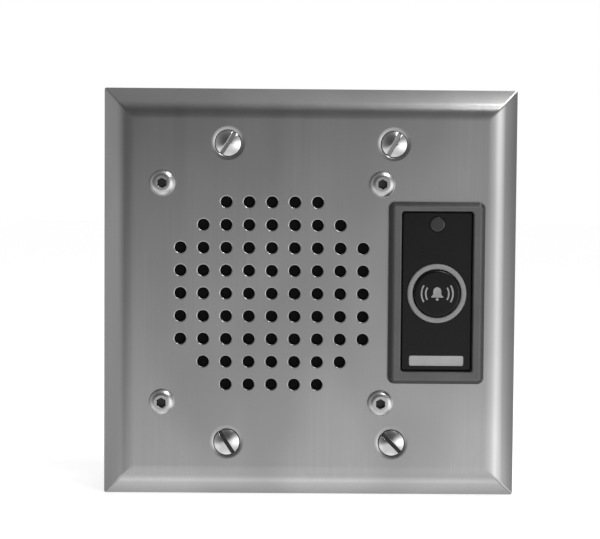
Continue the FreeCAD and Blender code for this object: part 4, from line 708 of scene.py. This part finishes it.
geometry = bmesh.new()
for track in TRACKS:
    ribbon_strip(geometry, track, TRACK_LEVEL, width=0.7, rise=0.05)
tracks = make_piece("board_tracks", geometry, "board_green", BODY_OF["main_board"])
tracks.data.materials[0] = finish("track_under_mask", (0.03, 0.2, 0.08), 0.35, Coat_Weight=0.5)

geometry = bmesh.new()
for x, z in JOINTS:
    dome(geometry, x, JOINT_LEVEL, z, radius=0.85, rise=0.55)
for x, z in VIAS:
    dome(geometry, x, JOINT_LEVEL, z, radius=0.5, rise=0.1)
joints = make_piece("board_solder_joints", geometry, "solder", BODY_OF["main_board"])
shade(joints, 60)

geometry = bmesh.new()
for x, z, width, height in OUTLINES:
    corners = [(x - width / 2, z - height / 2), (x + width / 2, z - height / 2), (x + width / 2, z + height / 2),
               (x - width / 2, z + height / 2)]
    for first, second in zip(corners, corners[1:] + corners[:1]):
        ribbon_strip(geometry, [first, second], TRACK_LEVEL, width=0.2, rise=0.025)
make_piece("board_outlines", geometry, "connector_white", BODY_OF["main_board"])

# --------------------------------------------------------------- button module
refine("button_bezel", 0.16, 2)
refine("bezel_gasket", 0.08)
refine("call_panel", 0.08)
refine("trim_ring", 0.1)
refine("label_strip", 0.1)
refine("push_button", 0.15, 3)
refine("button_symbol", 0.04)
refine("button_guide", 0.15)


def make_spring():
    """Compression spring with closed ends."""
    geometry = bmesh.new()
    turns, wire, radius, front, rear = 5.2, 0.3, 4.6, -2.62, 2.58
    steps, around = 260, 10
    closed = 0.14
    loops = []
    for step in range(steps + 1):
        t = step / steps
        ends = min(t, closed) + max(0.0, t - 1 + closed)
        open_run = max(0.0, min(t, 1 - closed) - closed) / (1 - 2 * closed)
        y = front + wire + ends / (2 * closed) * 2 * wire + open_run * (rear - front - 4 * wire)
        angle = 2 * math.pi * turns * t
        out = Vector((math.cos(angle), 0, math.sin(angle)))
        centre = Vector((MODULE_X, y, MODULE_Z)) + out * radius
        loops.append([geometry.verts.new((centre + wire * (out * math.cos(a) + Vector((0, 1, 0)) * math.sin(a))) * MM)
                      for a in (2 * math.pi * k / around for k in range(around))])
    bridge(geometry, loops)
    for loop in (loops[0], loops[-1]):
        geometry.faces.new(loop)
    spring = make_piece("return_spring", geometry, "spring_steel", None)
    spring.data.shade_smooth()
    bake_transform(spring)
    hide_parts("button_spring")


make_spring()

# --------------------------------------------------------- floor, light, camera


def stage_material():
    """Pale matt floor with a barely visible unevenness."""
    shader = Shader("pale_floor")
    mottle = shader.noise(6.0, 3.0)
    shader.wire("Base Color", shader.blend(mottle, (0.84, 0.84, 0.84), (0.87, 0.87, 0.87)))
    shader.wire("Roughness", shader.between(mottle, 0.75, 0.85))
    shader.surface.inputs["Emission Color"].default_value = (1, 1, 1, 1)
    shader.surface.inputs["Emission Strength"].default_value = 0.7
    return shader.material


floor_mesh = bpy.data.meshes.new("floor")
floor_z, reach = -57.15 * MM, 6.0
floor_mesh.from_pydata([(-reach, -reach, floor_z), (reach, -reach, floor_z), (reach, reach, floor_z),
                        (-reach, reach, floor_z)], [], [(0, 1, 2, 3)])
floor = bpy.data.objects.new("floor", floor_mesh)
bpy.context.scene.collection.objects.link(floor)
floor_mesh.materials.append(stage_material())
floor.visible_glossy = False

LOBES = [((0, -0.1, -1), 0.88, 6.5), ((0.62, -0.78, -0.05), 0.85, 16), ((0.92, -0.39, -0.05), 0.75, 9),
         ((0.9, 0, -0.44), 1.5, 36), ((-0.72, -0.5, -0.48), 0.4, 20), ((-1, 0, 0), 0.36, 3), ((1, 0, 0), 0.05, 3),
         ((0, 0, 1), 0.18, 3), ((0.5, 0, 0.87), 0.7, 15), ((0, 1, 0), 0.5, 2)]


def make_world(base, horizon):
    """White behind the object, paler light below the horizon in front, and broad lobes elsewhere.

    A lobe is (direction, strength, narrowness).
    """
    world = bpy.data.worlds.new("studio")
    bpy.context.scene.world = world
    world.use_nodes = True
    tree = world.node_tree
    nodes, links = tree.nodes, tree.links
    direction = nodes.new("ShaderNodeTexCoord").outputs["Generated"]

    def along(towards):
        """How far each direction points along another."""
        node = nodes.new("ShaderNodeVectorMath")
        node.operation = "DOT_PRODUCT"
        links.new(direction, node.inputs[0])
        node.inputs[1].default_value = towards
        return node.outputs["Value"]

    ramp = nodes.new("ShaderNodeMapRange")
    ramp.interpolation_type = "SMOOTHSTEP"
    ramp.inputs["From Min"].default_value, ramp.inputs["From Max"].default_value = 0.1, -0.21
    ramp.inputs["To Max"].default_value = horizon
    links.new(along((-0.3, 0, 1)), ramp.inputs["Value"])
    ahead = maths_node(tree, "MAXIMUM", along((0, -1, 0)))
    total = maths_node(tree, "ADD", maths_node(tree, "MULTIPLY", ramp.outputs["Result"], ahead), base)
    for towards, strength, narrowness in LOBES:
        facing = maths_node(tree, "MAXIMUM", along(Vector(towards).normalized()))
        share = maths_node(tree, "POWER", facing, narrowness)
        total = maths_node(tree, "ADD", total, maths_node(tree, "MULTIPLY", share, strength))
    tone = nodes.new("ShaderNodeMix")
    tone.data_type = "RGBA"
    tone.inputs[7].default_value = (1, 1, 1, 1)
    links.new(total, tone.inputs[6])
    links.new(nodes.new("ShaderNodeLightPath").outputs["Is Camera Ray"], tone.inputs[0])
    links.new(tone.outputs[2], nodes["Background"].inputs["Color"])


make_world(0.06, 0.68)


def add_light(kind, name, energy, location, aim=(0, 0, 0), glossy=True, **settings):
    data = bpy.data.lights.new(name, kind)
    data.energy = energy
    for setting, number in settings.items():
        setattr(data, setting, number)
    light = bpy.data.objects.new(name, data)
    light.location = location
    light.rotation_mode = "QUATERNION"
    light.rotation_quaternion = (Vector(location) - Vector(aim)).to_track_quat("Z", "Y")
    light.visible_glossy = glossy
    bpy.context.scene.collection.objects.link(light)


add_light("AREA", "top_box", 0.7, (0.22, -0.08, 0.42), (0.05, 0, 0), shape="RECTANGLE", size=0.16, size_y=0.16)
add_light("AREA", "ridge_box", 0.22, (0.19, -0.28, 0.4), (0.03, 0, 0.03), shape="RECTANGLE", size=0.12, size_y=0.12)
add_light("AREA", "front_box", 1.2, (0.25, -0.75, 0.6), glossy=False, shape="RECTANGLE", size=0.5, size_y=0.5)

camera_data = bpy.data.cameras.new("camera")
camera = bpy.data.objects.new("camera", camera_data)
bpy.context.scene.collection.objects.link(camera)
camera_data.sensor_width = 36
camera_data.lens = 85.2
camera_data.clip_start = 0.01
camera.matrix_world = (Matrix.Translation((-0.0059, -0.4, 0.0248)) @ Matrix.Rotation(math.radians(-0.44), 4, "Z")
                       @ Matrix.Rotation(math.radians(90 - 2.62), 4, "X")
                       @ Matrix.Rotation(math.radians(0.44), 4, "Z"))
bpy.context.scene.camera = camera
bpy.context.scene.view_settings.view_transform = "Standard"
